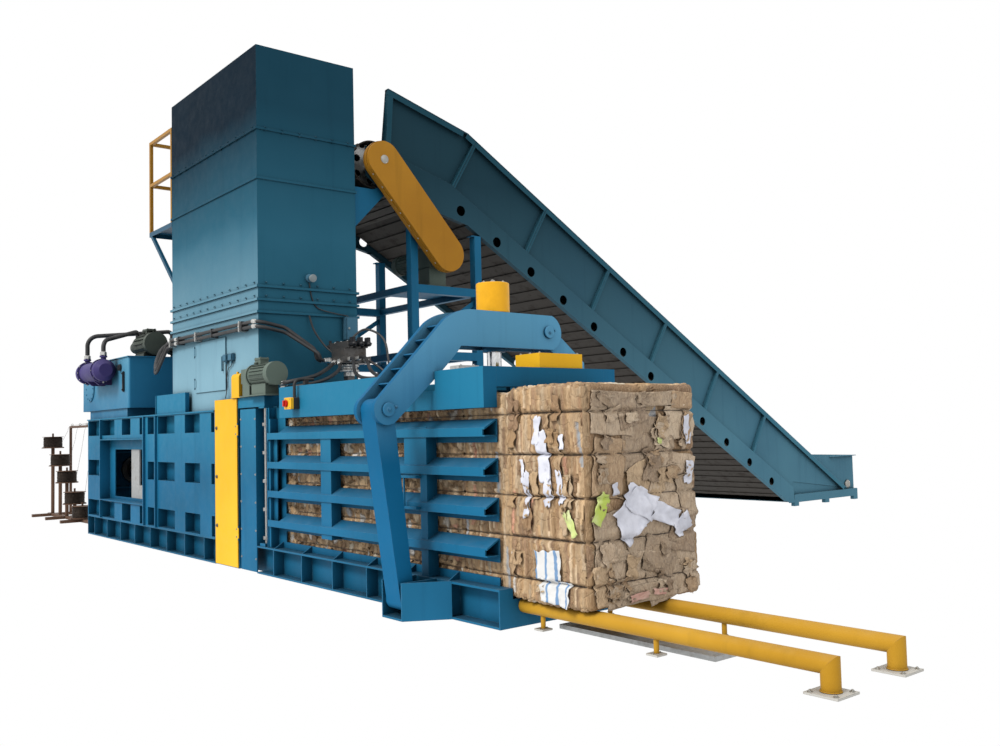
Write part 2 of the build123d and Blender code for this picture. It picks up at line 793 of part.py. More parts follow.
# Needle carriage: upright beam on two guide rods, five needles with hooked tips
with BuildPart() as needle_carriage:
    beam_y = (needle_rest + needle_length, needle_rest + needle_length + carriage_depth)
    plate((tying_plane - 45, tying_plane + 45), beam_y, (min(guide_heights) - 30, max(guide_heights) + 30))
    rod_y = (beam_y[1], needle_post_y - 30)
    round_bar((tying_plane, sum(rod_y) / 2, needle_rod_z), "Y", needle_rod_r, rod_y[1] - rod_y[0])
    for z in guide_heights:
        round_bar((tying_plane, sum(beam_y) / 2, z), "Y", guide_r + running_fit, 2 * carriage_depth, mode=Mode.SUBTRACT)
    for z in wire_heights:
        with BuildSketch(Plane.YZ.offset(tying_plane - needle_sheet / 2)) as needle:
            with BuildLine():
                Polyline(
                    (beam_y[0], z - needle_width / 2),
                    (beam_y[0], z + needle_width / 2),
                    (needle_rest + 60, z + needle_width / 2),
                    (needle_rest, z + needle_width / 6),
                    (needle_rest, z - needle_width / 6),
                    (needle_rest + 30, z - needle_width / 6),
                    (needle_rest + 40, z - needle_width / 2),
                    close=True,
                )
            make_face()
        extrude(needle.sketch, amount=needle_sheet)
save(needle_carriage, "needle_carriage")

# Tying door on the working side, hung at its right edge
with BuildPart() as tying_door:
    plate((column_x[0] + door_gap, column_x[1] - door_gap), (-side_face, door_plane), (10, column_top - door_gap))
    plate(
        (column_x[0] + door_gap + 10, column_x[1] - door_gap - 10),
        (-side_face + 4, door_plane),
        (20, column_top - 12),
        mode=Mode.SUBTRACT,
    )
    for z in door_hinge_z:
        round_bar((*door_axis, z), "Z", hinge_pin_r, 110)
        plate((column_x[1] - 20, door_axis[0]), (-side_face, -side_face + 6), (z - 55, z + 55))
save(tying_door, "tying_door")


def finned_motor(x, y, z, radius, foot_z):
    """A fan-cooled motor lying along X, its fan cover towards +X."""
    length = x[1] - x[0]
    round_bar((sum(x) / 2, y, z), "X", radius - 14, length)
    with Locations(Location((sum(x) / 2 - 10, y, z), (0, 90, 0))):
        with PolarLocations(radius - 12, 20):
            Box(26, 5, length - 150)
    round_bar((x[1] - 40, y, z), "X", radius, 80)
    round_bar((x[0] + 15, y, z), "X", radius, 30)
    plate((x[0] + 90, x[0] + 220), (y - 45, y + 45), (z + radius - 30, z + radius + 35))
    plate((x[0] + 60, x[1] - 120), (y - 70, y + 70), (foot_z, z - radius + 20))


# Tying motor with its gearbox on the drive housing
with BuildPart() as tying_motor:
    finned_motor(tying_motor_x, tying_axis_y, tying_axis_z, tying_motor_r, column_top + 12)
    gear_y = (tying_axis_y - guard_r, tying_axis_y + guard_r)
    plate((guard_x[1] + 60, tying_motor_x[0]), gear_y, (tying_axis_z - 75, tying_axis_z + 75))
    plate((guard_x[1] + 90, tying_motor_x[0] - 40), gear_y, (column_top + 12, tying_axis_z - 75))
    plate((guard_x[1] + 30, tower_x[1]), gear_y, (column_top, column_top + 12))
    plate((tower_x[1] + 6, tying_motor_x[1] - 80), (tying_axis_y - 90, tying_axis_y + 90), (column_top, column_top + 12))
    round_bar((guard_x[1] + 30, tying_axis_y, tying_axis_z), "X", 25, 60)
save(tying_motor, "tying_motor")

# Chain guard with a round top
with BuildPart() as tying_chain_guard:
    with BuildSketch(Plane.YZ.offset(guard_x[0])) as guard_face:
        with Locations((tying_axis_y, tying_axis_z)):
            Circle(guard_r)
        with Locations((tying_axis_y, (tying_axis_z + column_top) / 2)):
            Rectangle(2 * guard_r, tying_axis_z - column_top)
    extrude(guard_face.sketch, amount=guard_x[1] - guard_x[0])
    plate((guard_x[0] - 20, guard_x[1] + 20), (tying_axis_y - guard_r, tying_axis_y + guard_r), (column_top, column_top + 8))
    round_bar((guard_x[0] + 60, tying_axis_y, tying_axis_z + guard_r + 8), "Z", 14, 24)
save(tying_chain_guard, "tying_chain_guard")

# Twister shaft with five hook heads
twister_low = skid_height + 4
with BuildPart() as twister_shaft:
    round_bar((tying_plane, twister_y, (twister_low + body_top - 4) / 2), "Z", twister_r, body_top - 4 - twister_low)
    for z in wire_heights:
        with BuildSketch(Plane.XY.offset(z - 16)) as hook:
            with Locations((tying_plane, twister_y)):
                Circle(34)
                Rectangle(10, 40, align=(Align.CENTER, Align.MIN), mode=Mode.SUBTRACT)
        extrude(hook.sketch, amount=32)
        round_bar((tying_plane, twister_y, z), "Z", twister_r, 32)
save(twister_shaft, "twister_shaft")

# Channel side: four shelf ribs, foot strip, posts and short struts
with BuildPart() as channel_side_near:
    strip = (-half_width - sheet, -half_width)
    for top in rib_tops:
        plate((channel_start, channel_end), strip, (top - rib_height, top + rib_rise))
        web_z = top - lip_height
        plate((channel_start, channel_end), (-side_face, strip[0]), (web_z, web_z + rib_web))
        plate((channel_start, channel_end - lip_setback), (-side_face, -side_face + sheet), (web_z, top))
        profile_x(
            [
                (-side_face, top),
                (strip[0], top + rib_rise),
                (strip[0], top + rib_rise - 1.2 * sheet),
                (-side_face, top - 1.2 * sheet),
            ],
            (channel_start + slope_setback, channel_end),
        )
    for low, high in zip(rib_tops, rib_tops[1:]):
        plate(strut_x, (strip[0] - 50, strip[0] - 50 + sheet), (low - lip_height + rib_web, high - lip_height))
        plate((channel_start, strut_x[0]), (-side_face, strip[0]), (high - lip_height - sheet, high - lip_height))
    plate((channel_start, wall_end), strip, (skid_height, top_beam_z[0]))
    plate((channel_start, channel_end), strip, (skid_height, skid_height + 60))
    for n in range(int((channel_start - body_back) // stiffener_pitch), int((skid_end - body_back) // stiffener_pitch)):
        x = stiffener_first + stiffener_pitch * n
        if channel_start < x < channel_end:
            profile_x(
                [(strip[0], skid_height), (-side_face + 10, skid_height), (strip[0], skid_height + 60)],
                (x, x + sheet),
            )
    plate((channel_start, top_beam_start), strip, (top_beam_z[0], chamber_top))
    post_y = (-side_face + sheet, strip[0])
    plate(post_one, post_y, (rib_tops[0] - rib_height, rib_tops[-1]))
    plate(post_two, post_y, (skid_height, rib_tops[-1] + 14))
    panel_x = (post_two_panel, post_two[0])
    plate(panel_x, (post_y[0], post_y[0] + sheet), (rib_tops[1] + 200, rib_tops[-1] + 14))
    for z in (1040, 800):
        plate((post_two_panel - 30, post_two[0]), (-side_face - 40, -side_face - 40 + sheet), (z - 10, z + 10))
        plate((post_two[0] - 12, post_two[0] + 12), (-side_face - 40, post_y[0]), (z - 10, z + 10))
    round_bar((post_two_panel + 60, -side_face - 34, 920), "Z", 8, 240)
    plate((channel_start, channel_start + 2 * sheet), (-side_face + 2 * sheet, -half_width), (skid_height, top_beam_z[0]))
save(channel_side_near, "channel_side_near")

with BuildPart() as channel_side_far:
    mirror(channel_side_near.part, about=Plane.XZ)
save(channel_side_far, "channel_side_far")

# Channel roof: two box beams, cross beams, front plate and exit beam
with BuildPart() as channel_roof:
    notch_x = (clamp_x - lever_gap / 2 - lever_sheet - 12, clamp_x + lever_gap / 2 + lever_sheet + 12)
    for side in (-1, 1):
        beam_y = (side * half_width, side * side_face)
        hollow_y = (side * (half_width + sheet), side * (side_face - sheet))
        lengths = (
            (top_beam_start, notch_x[0] - gap, top_beam_z[1]),
            (notch_x[0], notch_x[1], notch_top),
            (notch_x[1] + gap, channel_end, top_beam_z[1]),
        )
        for start, end, top in lengths:
            plate((start, end), beam_y, (top_beam_z[0], top))
            plate((start + sheet, end - sheet), hollow_y, (top_beam_z[0] + sheet, top - sheet), mode=Mode.SUBTRACT)
    between = (-half_width + gap, half_width - gap)
    plate((channel_start, plate_x[0] - 60), between, (chamber_top, chamber_top + roof_sheet))
    for x in (top_beam_start, 1900, plate_x[0] - 120):
        plate((x, x + 60), between, (chamber_top + roof_sheet + gap, top_beam_z[1] - 60))
    plate((plate_x[1] + 30, channel_end), between, (chamber_top + 40, top_beam_z[1]))
    for y in (-400, 400):
        round_bar((plate_x[0], y, chamber_top + 50), "Y", hinge_r, 160 - 2 * gap)
        for end in (-1, 1):
            edge = (y + end * 80, y + end * 100)
            plate((plate_x[0] - 60 + gap, plate_x[0] + 30), edge, (chamber_top + plate_sheet + 6, chamber_top + 90))
save(channel_roof, "channel_roof")

# Pressure plate: hinged at its front edge, stiffened along X, pushed down by the tension rod
pad_x = (clamp_x - 130, clamp_x + 130)
with BuildPart() as pressure_plate:
    plate((plate_x[0] - 30, plate_x[1]), (-plate_half, plate_half), (chamber_top, chamber_top + plate_sheet))
    hinge_z = chamber_top + 50
    for y in (-400, 400):
        profile_y(
            [
                (plate_x[0] - 30, chamber_top + plate_sheet),
                (plate_x[0] - 30, hinge_z + 30),
                (plate_x[0] + 30, hinge_z + 30),
                (plate_x[0] + 200, chamber_top + plate_sheet),
            ],
            (y - 78, y + 78),
        )
        round_bar((plate_x[0], y, hinge_z), "Y", hinge_r + running_fit, 160, mode=Mode.SUBTRACT)
    for y in (-300, 0, 300):
        plate((plate_x[0] + 200, plate_x[1] - 40), (y - 20, y + 20), (chamber_top + plate_sheet, chamber_top + 110))
    plate(pad_x, (tension_y - 130, tension_y + 130), (chamber_top + plate_sheet, chamber_top + 150))
save(pressure_plate, "pressure_plate")

# Cover over the exit end of the roof
with BuildPart() as exit_cover:
    cover_x = (clamp_x + lever_gap / 2 + lever_sheet + 300, channel_end - 30)
    plate((cover_x[0], cover_x[1]), (-100, 345), (top_beam_z[1], top_beam_z[1] + 115))
    plate(
        (cover_x[0] + 4, cover_x[1] - 4),
        (-96, 341),
        (top_beam_z[1], top_beam_z[1] + 111),
        mode=Mode.SUBTRACT,
    )
save(exit_cover, "exit_cover")

# Base brackets of the clamp with their pins, one each side of the skid
cheek_x = (clamp_x - bracket_gap / 2 - sheet, clamp_x + bracket_gap / 2 + sheet)
with BuildPart() as clamp_brackets:
    for side in (-1, 1):
        reach = (side * (side_face + 0.0), side * bracket_reach)
        for x in (cheek_x[0], cheek_x[1] - sheet):
            plate((x, x + sheet), reach, (0, bracket_height))
        plate(cheek_x, reach, (0, flange_sheet))
        plate((cheek_x[0], cheek_x[1]), (side * side_face, side * (side_face + sheet)), (0, bracket_height))
        with BuildSketch(Plane.XY) as brace:
            with BuildLine():
                Polyline(
                    (cheek_x[1], side * bracket_reach),
                    (cheek_x[1] + 190, side * side_face),
                    (cheek_x[1] + 172, side * side_face),
                    (cheek_x[1], side * (bracket_reach - 22)),
                    close=True,
                )
            make_face()
        extrude(brace.sketch, amount=bracket_height)
        round_bar((clamp_x, side * abs(near_base[0]), near_base[1]), "X", pin_r, cheek_x[1] - cheek_x[0])
save(clamp_brackets, "clamp_brackets")

# Near arm: closed box section between the cheeks, leaning out, with a pin through its top
arm_x = (clamp_x - lever_gap / 2 + arm_gap, clamp_x + lever_gap / 2 - arm_gap)
with BuildPart() as near_arm:
    with BuildSketch(Plane.YZ.offset(arm_x[0])) as arm_face:
        with BuildLine():
            l1 = Polyline((near_base[0] + 55, near_base[1] + 10), (near_top[0] + 85, near_top[1] - 20))
            l2 = ThreePointArc(l1 @ 1, (near_top[0] + 8, near_top[1] + 88), (near_top[0] - 85, near_top[1] - 8))
            l3 = Polyline(l2 @ 1, (near_base[0] - 68, near_base[1] - 5))
            ThreePointArc(l3 @ 1, (near_base[0], near_base[1] - 68), l1 @ 0)
        make_face()
        with Locations(near_base):
            Circle(pin_r + running_fit, mode=Mode.SUBTRACT)
    extrude(arm_face.sketch, amount=arm_x[1] - arm_x[0])
    round_bar((clamp_x, *near_base), "X", 62, bracket_gap - 2 * arm_gap)
    round_bar((clamp_x, *near_base), "X", pin_r + running_fit, bracket_gap, mode=Mode.SUBTRACT)
    lever_x = (clamp_x - lever_gap / 2 - lever_sheet, clamp_x + lever_gap / 2 + lever_sheet)
    round_bar((clamp_x, *near_top), "X", pin_r, lever_x[1] - lever_x[0] + 20)
save(near_arm, "near_arm")

# Cross lever: two bent plates with short webs between them
with BuildPart() as cross_lever:
    with BuildSketch(Plane.YZ.offset(lever_x[0])) as lever_face:
        with BuildLine():
            m1 = Polyline(
                (near_top[0] + 72, near_top[1] - 90),
                (near_top[0] + 480, near_top[1] + 276),
                (near_top[0] + 650, near_top[1] + 445),
                (far_top[0] - 920, far_top[1] - 146),
                (far_top[0] + 60, far_top[1] - 146),
            )
            m2 = ThreePointArc(m1 @ 1, (far_top[0] + 150, far_top[1] + 20), (far_top[0] + 50, far_top[1] + 143))
            m3 = Polyline(m2 @ 1, (far_top[0] - 820, far_top[1] + 150))
            m4 = ThreePointArc(m3 @ 1, (far_top[0] - 950, far_top[1] + 123), (far_top[0] - 1080, far_top[1] + 53))
            m5 = Polyline(m4 @ 1, (near_top[0] - 62, near_top[1] + 97))
            ThreePointArc(m5 @ 1, (near_top[0] - 105, near_top[1] - 47), m1 @ 0)
        make_face()
        with Locations(near_top):
            Circle(pin_r + running_fit, mode=Mode.SUBTRACT)
        with Locations(far_top):
            Circle(pin_r + arm_gap, mode=Mode.SUBTRACT)
    extrude(lever_face.sketch, amount=lever_sheet)
    extrude(lever_face.sketch.moved(Location((lever_gap + lever_sheet, 0, 0))), amount=lever_sheet)
    gap_x = (clamp_x - lever_gap / 2, clamp_x + lever_gap / 2)
    web_foot = Vector(near_top[0] + 70, near_top[1] + 215)
    web_head = Vector(far_top[0] - 1080, far_top[1] + 33)
    web_count = 5
    for n in range(web_count):
        at = web_foot + (web_head - web_foot) * (n / (web_count - 1))
        flat_bar((at.X + 10, at.Y - 14), (at.X + 120, at.Y - 100), 14, lever_gap, gap_x[0])
    strut_z = (far_top[1] - 112, far_top[1] + 128)
    plate(gap_x, (tension_y + tension_r + 30, tension_y + tension_r + 54), strut_z)
    plate(gap_x, (tension_y - tension_r - 54, tension_y - tension_r - 30), strut_z)
save(cross_lever, "cross_lever")

# Far arm: the mirror of the near arm below, cranked inwards to the lever's far pin
far_base = (-near_base[0], near_base[1])
with BuildPart() as far_arm:
    with BuildSketch(Plane.YZ.offset(arm_x[0])) as far_face:
        with BuildLine():
            f1 = Polyline(
                (far_base[0] - 65, far_base[1] + 20),
                (far_base[0] - 60, 1500),
                (far_base[0] - 70, 1900),
                (far_top[0] - 60, far_top[1] - 70),
            )
            f2 = ThreePointArc(f1 @ 1, (far_top[0] - 30, far_top[1] + 88), (far_top[0] + 75, far_top[1] + 60))
            f3 = Polyline(f2 @ 1, (far_base[0] + 75, 1960), (far_base[0] + 85, 1500), (far_base[0] + 68, far_base[1] - 5))
            ThreePointArc(f3 @ 1, (far_base[0], far_base[1] - 68), f1 @ 0)
        make_face()
        with Locations(far_base):
            Circle(pin_r + running_fit, mode=Mode.SUBTRACT)
    extrude(far_face.sketch, amount=arm_x[1] - arm_x[0])
    round_bar((clamp_x, *far_base), "X", 62, bracket_gap - 2 * arm_gap)
    round_bar((clamp_x, *far_base), "X", pin_r + running_fit, bracket_gap, mode=Mode.SUBTRACT)
    round_bar((clamp_x, *far_top), "X", pin_r, lever_x[1] - lever_x[0] + 20)
save(far_arm, "far_arm")

# Tension cylinder: barrel with a round cover, held by two ears between the lever's plates
with BuildPart() as tension_cylinder:
    round_bar((tension_x, tension_y, sum(tension_z) / 2), "Z", tension_r, tension_z[1] - tension_z[0])
    cap_z = (far_top[1] + 150 + gap, cap_top)
    round_bar((tension_x, tension_y, sum(cap_z) / 2), "Z", cap_r, cap_z[1] - cap_z[0])
    fillet(tension_cylinder.faces().sort_by(Axis.Z)[-1].edges(), radius=8)
    plate((tension_x - lever_gap / 2, tension_x + lever_gap / 2), (tension_y - 50, tension_y + 50), (far_top[1] - 22, far_top[1] + 78))
    bore_depth = 300
    round_bar(
        (tension_x, tension_y, tension_z[0] + bore_depth / 2), "Z", tension_rod_r + running_fit, bore_depth + 1,
        mode=Mode.SUBTRACT,
    )
save(tension_cylinder, "tension_cylinder")

rod_foot = chamber_top + 150 + 1.5 * arm_gap
with BuildPart() as tension_rod:
    rod_top = tension_z[0] + 300 - tension_lift - 10
    round_bar((tension_x, tension_y, (rod_foot + rod_top) / 2), "Z", tension_rod_r, rod_top - rod_foot)
    round_bar((tension_x, tension_y, rod_foot + 20), "Z", 1.6 * tension_rod_r, 40)
save(tension_rod, "tension_rod")

# Isolator on the near top beam with its conduit, and the knob in front
isolator_x = (1480, 1620)
isolator_z = (1630, 1740)
with BuildPart() as isolator_box:
    plate(isolator_x, (-side_face - 90, -side_face), isolator_z)
    fillet(isolator_box.edges().filter_by(Axis.Y), radius=12)
    hose(
        [
            (isolator_x[1] - 25, -side_face - 40, isolator_z[1] - 2),
            (isolator_x[1] - 25, -side_face - 40, top_beam_z[1] + 60),
            (isolator_x[1] - 25, -side_face + 160, top_beam_z[1] + 60),
        ],
        60,
        14,
    )
    plate((isolator_x[1] - 45, isolator_x[1] - 5), (-side_face + 60, -side_face + 100), (top_beam_z[1], top_beam_z[1] + 60))
save(isolator_box, "isolator_box")

knob_centre = (isolator_x[0] + 50, -side_face - 90, sum(isolator_z) / 2)
with BuildPart() as isolator_knob:
    round_bar((knob_centre[0], knob_centre[1] - gap - 9, knob_centre[2]), "Y", 32, 18)
    plate((knob_centre[0] - 8, knob_centre[0] + 8), (knob_centre[1] - 38, knob_centre[1] - gap - 18), (knob_centre[2] - 28, knob_centre[2] + 28))
save(isolator_knob, "isolator_knob")

# Valve manifold on a leg that stands on the channel roof
with BuildPart() as valve_manifold:
    plate(manifold_x, manifold_y, manifold_z)
    for x in fitting_x:
        round_bar((x, (fitting_y + manifold_y[0]) / 2, sum(manifold_z) / 2), "Y", 24, manifold_y[0] - fitting_y)
    plate((manifold_x[0] + 30, manifold_x[1] - 30), (manifold_y[0] + 40, manifold_y[1] - 40), (manifold_z[1], manifold_z[1] + 90))
    for n in range(3):
        y = manifold_y[0] + 80 + n * 90
        plate((manifold_x[0] - 30, manifold_x[1] + 30), (y - 28, y + 28), (manifold_z[1] + 90, manifold_z[1] + 160))
    leg_x = (sum(manifold_x) / 2 - 40, sum(manifold_x) / 2 + 40)
    plate(leg_x, (210, 290), (chamber_top + roof_sheet, manifold_z[0]))
save(valve_manifold, "valve_manifold")

# Bales: pressed blocks with rounded corners and shallow grooves where the wires bite
wire_bite = 10


def bale(x_front, bale_length=bale_length):
    """A pressed bale whose leading face is at x_front."""
    x0 = x_front - bale_length
    with BuildSketch(Plane.XY.offset(deck_height)) as face:
        with Locations(((x0 + x_front) / 2, 0)):
            RectangleRounded(bale_length, 2 * bale_half, bale_round)
    extrude(face.sketch, amount=bale_height)
    for z in wire_heights:
        with BuildSketch(Plane.XY.offset(z - wire_bite)) as groove:
            with Locations(((x0 + x_front) / 2, 0)):
                RectangleRounded(bale_length, 2 * bale_half, bale_round)
                RectangleRounded(
                    bale_length - 2 * wire_bite, 2 * bale_half - 2 * wire_bite, bale_round - wire_bite,
                    mode=Mode.SUBTRACT,
                )
        extrude(groove.sketch, amount=2 * wire_bite, mode=Mode.SUBTRACT)


bale_pitch = bale_length + 10
with BuildPart() as front_bale:
    bale(bale_end)
    swollen = (skid_end + gap, bale_end)
    with BuildSketch(Plane.XY.offset(deck_height)) as swell:
        with Locations((sum(swollen) / 2, 0)):
            RectangleRounded(swollen[1] - swollen[0], 2 * (bale_half + bale_swell), bale_round)
    extrude(swell.sketch, amount=bale_height + 2 * bale_swell)
    for z in wire_heights:
        with BuildSketch(Plane.XY.offset(z - wire_bite)) as channel:
            with Locations((bale_end - bale_length / 2, 0)):
                RectangleRounded(bale_length + 100, 2 * bale_half + 100, bale_round)
                RectangleRounded(
                    bale_length - 2 * wire_bite, 2 * bale_half - 2 * wire_bite, bale_round - wire_bite,
                    mode=Mode.SUBTRACT,
                )
        extrude(channel.sketch, amount=2 * wire_bite, mode=Mode.SUBTRACT)
save(front_bale, "front_bale")

with BuildPart() as channel_bales:
    for n in (1, 2):
        bale(bale_end - n * bale_pitch)
    next_front = bale_end - 3 * bale_pitch
    bale(next_front, next_front - waste_start)
save(channel_bales, "channel_bales")

with BuildPart() as bale_wires:
    for n in range(3):
        middle = bale_end - n * bale_pitch - bale_length / 2
        for z in wire_heights:
            with BuildSketch(Plane.XY.offset(z - wire_side / 2)) as loop:
                with Locations((middle, 0)):
                    inner_size = (bale_length - 2 * wire_bite, 2 * bale_half - 2 * wire_bite)
                    RectangleRounded(inner_size[0] + 2 * wire_side, inner_size[1] + 2 * wire_side, bale_round - wire_bite + wire_side)
                    RectangleRounded(*inner_size, bale_round - wire_bite, mode=Mode.SUBTRACT)
            extrude(loop.sketch, amount=wire_side)
save(bale_wires, "bale_wires")

# Run-out rails: two pipes from the exit plate, mitred legs on foot plates, thin middle legs
rail_axis = rail_top - rail_r
with BuildPart() as run_out_rails:
    for side in (-1, 1):
        y = rail_shift + side * rail_spacing / 2
        with BuildLine() as rail_route:
            Polyline((skid_end, y, rail_axis), (rail_end - rail_r, y, rail_axis), (rail_end - rail_r, y, foot_sheet))
        with BuildSketch(Plane(origin=rail_route.line @ 0, z_dir=(1, 0, 0))) as rail_face:
            Circle(rail_r)
        sweep(rail_face.sketch, path=rail_route.line, transition=Transition.RIGHT)
        foot = foot_size / 2
        plate((rail_end - rail_r - foot, rail_end - rail_r + foot), (y - foot, y + foot), (0, foot_sheet))
        for x in (skid_end + 200, (skid_end + rail_end) / 2):
            round_bar((x, y, rail_axis / 2), "Z", 17, rail_axis)
            plate((x - 45, x + 45), (y - 45, y + 45), (0, foot_sheet))
save(run_out_rails, "run_out_rails")

# Drip tray between the rails
tray_half = rail_spacing / 2 - rail_r - 60
with BuildPart() as drip_tray:
    tray_y = (rail_shift - tray_half, rail_shift + tray_half)
    plate(tray_x, tray_y, (0, tray_rim))
    plate((tray_x[0] + 4, tray_x[1] - 4), (tray_y[0] + 4, tray_y[1] - 4), (4, tray_rim), mode=Mode.SUBTRACT)
save(drip_tray, "drip_tray")

# Conveyor lines: points of the carrying run, from the head over the knee to the tail
slope = tan(radians(incline))
head_top = (head_y, head_z + head_r)
knee_z = head_top[1] - (knee_y - head_y) * tan(radians(head_slope))
tail_knee_z = knee_z - (tail_knee_y - knee_y) * slope
run_top = [head_top, (knee_y, knee_z), (tail_knee_y, tail_knee_z), (conveyor_end, tail_knee_z)]


def line_below(depths):
    """The carrying run moved down by one square distance for each point."""
    turns = (head_slope, (head_slope + incline) / 2, incline / 2, 0)
    return [
        (y - depth * sin(radians(turn)), z - depth * cos(radians(turn)))
        for (y, z), depth, turn in zip(run_top, depths, turns)
    ]


# Slat belt: a closed band over the head and tail sprockets with slats across it
run_low = line_below((2 * head_r, run_depth, run_depth - 40, 2 * tail_r))
tail_centre = (tail_y, run_top[3][1] - tail_r)


head_start = radians(head_slope)
head_finish = radians(8)


def belt_corners(shift):
    """Corner points of the band, shift outside its middle line: carrying run, then return run."""
    knee_turn = radians((head_slope + incline) / 2)
    tail_turn = radians(incline / 2)
    head = head_r + shift
    tail = tail_r + shift
    over = [
        (head_y + head * sin(head_start), head_z + head * cos(head_start)),
        (run_top[1][0] + shift * sin(knee_turn), run_top[1][1] + shift * cos(knee_turn)),
        (run_top[2][0] + shift * sin(tail_turn), run_top[2][1] + shift * cos(tail_turn)),
        (tail_centre[0], tail_centre[1] + tail),
    ]
    under = [
        (tail_centre[0], tail_centre[1] - tail),
        (run_low[2][0] - shift * sin(tail_turn), run_low[2][1] - shift * cos(tail_turn)),
        (run_low[1][0] - shift * sin(knee_turn), run_low[1][1] - shift * cos(knee_turn)),
        (head_y + head * sin(head_finish), head_z - head * cos(head_finish)),
    ]
    return over, under


def belt_face(shift):
    """The filled outline of the band, shift outside its middle line."""
    over, under = belt_corners(shift)
    with BuildSketch(Plane.YZ.offset(belt_middle - belt_half)) as face:
        with BuildLine():
            Polyline(*over)
            ThreePointArc(over[3], (tail_centre[0] + tail_r + shift, tail_centre[1]), under[0])
            Polyline(*under)
            ThreePointArc(under[3], (head_y - head_r - shift, head_z), over[0])
        make_face()
    return face.sketch


belt_half = (conveyor_x[1] - conveyor_x[0]) / 2 - 90
belt_middle = sum(conveyor_x) / 2
with BuildPart() as conveyor_belt:
    with BuildSketch(Plane.YZ.offset(belt_middle - belt_half)) as slats:
        for line in belt_corners(slat_size[1] / 2 - 1):
            for start, end in zip(line, line[1:]):
                run = Vector(*end) - Vector(*start)
                count = int(run.length // slat_pitch)
                turn = degrees(atan2(run.Y, run.X))
                for n in range(count):
                    at = Vector(*start) + run * ((n + 0.5) / count)
                    with Locations(Location((at.X, at.Y, 0), (0, 0, turn))):
                        Rectangle(*slat_size)
        for turn in (135, 180, 225):
            reach = head_r + slat_size[1] / 2 - 2
            at = (head_y + reach * cos(radians(turn)), head_z + reach * sin(radians(turn)))
            with Locations(Location((at[0], at[1], 0), (0, 0, turn + 90))):
                Rectangle(*slat_size)
    extrude(belt_face(0), amount=2 * belt_half)
    extrude(belt_face(-belt_sheet), amount=2 * belt_half, mode=Mode.SUBTRACT)
    extrude(slats.sketch, amount=2 * belt_half)
save(conveyor_belt, "conveyor_belt")

# Conveyor side: pierced stringer below, skirt with ribs and a top flange above
skirt_run = Vector(cos(radians(incline)), -sin(radians(incline)))
skirt_out = Vector(sin(radians(incline)), cos(radians(incline)))
knee_turn = radians((head_slope + incline) / 2)
skirt_head = (head_y + skirt_height * sin(head_start), run_top[0][1] + skirt_height * cos(head_start))
skirt_knee = (knee_y + skirt_height * sin(knee_turn), knee_z + skirt_height * cos(knee_turn))
skirt_end = Vector(*skirt_knee) + skirt_run * ((skirt_knee[1] - lip_top - 30) / sin(radians(incline)))
web_end = (tail_knee_y - 140, lip_low)
with BuildPart() as conveyor_side_near:
    skirt_x = (conveyor_x[1] - skirt_setback - stringer_sheet, conveyor_x[1] - skirt_setback)
    flange_x = (skirt_x[0], conveyor_x[1])
    stringer_top = line_below([stringer_drop] * 4)
    stringer_head = (head_y + 90, stringer_top[0][1] - 90 * tan(head_start))
    skirt_foot = line_below([stringer_drop + 6] * 4)
    profile_x(
        [
            skirt_head,
            skirt_knee,
            (skirt_end.X, skirt_end.Y),
            (tail_knee_y + 60, tail_knee_z),
            skirt_foot[2],
            skirt_foot[1],
            (head_y + 100, skirt_foot[0][1] - 26),
        ],
        skirt_x,
    )
    for start, end in ((skirt_head, skirt_knee), (skirt_knee, (skirt_end.X, skirt_end.Y))):
        run = (Vector(*end) - Vector(*start)).normalized()
        low = (start[0] + run.Y * 8, start[1] - run.X * 8)
        high = (end[0] + run.Y * 8, end[1] - run.X * 8)
        flat_bar(low, high, 16, flange_x[1] - flange_x[0], flange_x[0])
    for n in range(6):
        foot = Vector(*stringer_top[1]) + skirt_run * (n * 1355 + 60)
        head = foot + skirt_out * (skirt_height + stringer_drop - 16)
        flat_bar((foot.X, foot.Y), (head.X, head.Y), 12, flange_x[1] - skirt_x[1], skirt_x[1])
    web_x = (conveyor_x[1] - stringer_sheet, conveyor_x[1])
    profile_x(
        [
            (head_y - 150, head_z + 170),
            stringer_head,
            stringer_top[1],
            stringer_top[2],
            (tail_knee_y, lip_low),
            web_end,
            low_knee,
            (head_y + 20, head_z - head_r - 10),
            (head_y - 150, head_z - 170),
        ],
        web_x,
    )
    for start, end in ((low_knee, web_end), ((head_y + 20, head_z - head_r - 10), low_knee)):
        run = (Vector(*end) - Vector(*start)).normalized()
        low = (start[0] - run.Y * 6, start[1] + run.X * 6)
        high = (end[0] - run.Y * 6 - run.X * 60, end[1] + run.X * 6 - run.Y * 60)
        flat_bar(low, high, 12, 70, conveyor_x[1] - 70)
    for start, end in ((stringer_head, stringer_top[1]), stringer_top[1:3]):
        run = (Vector(*end) - Vector(*start)).normalized()
        low = (start[0] + run.Y * 6, start[1] - run.X * 6)
        high = (end[0] + run.Y * 6, end[1] - run.X * 6)
        flat_bar(low, high, 12, 70, conveyor_x[1] - 70)
    for n in range(hole_count):
        at = Vector(*run_top[1]) + skirt_run * (hole_pitch * n + 305) - skirt_out * hole_drop
        round_bar((sum(web_x) / 2, at.X, at.Y), "X", hole_r, 2 * stringer_sheet, mode=Mode.SUBTRACT)
    round_bar((sum(web_x) / 2, head_y, head_z), "X", 100, stringer_sheet + 20)
    round_bar((sum(web_x) / 2, head_y, head_z), "X", shaft_r + running_fit, 80, mode=Mode.SUBTRACT)
save(conveyor_side_near, "conveyor_side_near")

with BuildPart() as conveyor_side_far:
    mirror(conveyor_side_near.part, about=Plane.YZ.offset(belt_middle))
save(conveyor_side_far, "conveyor_side_far")


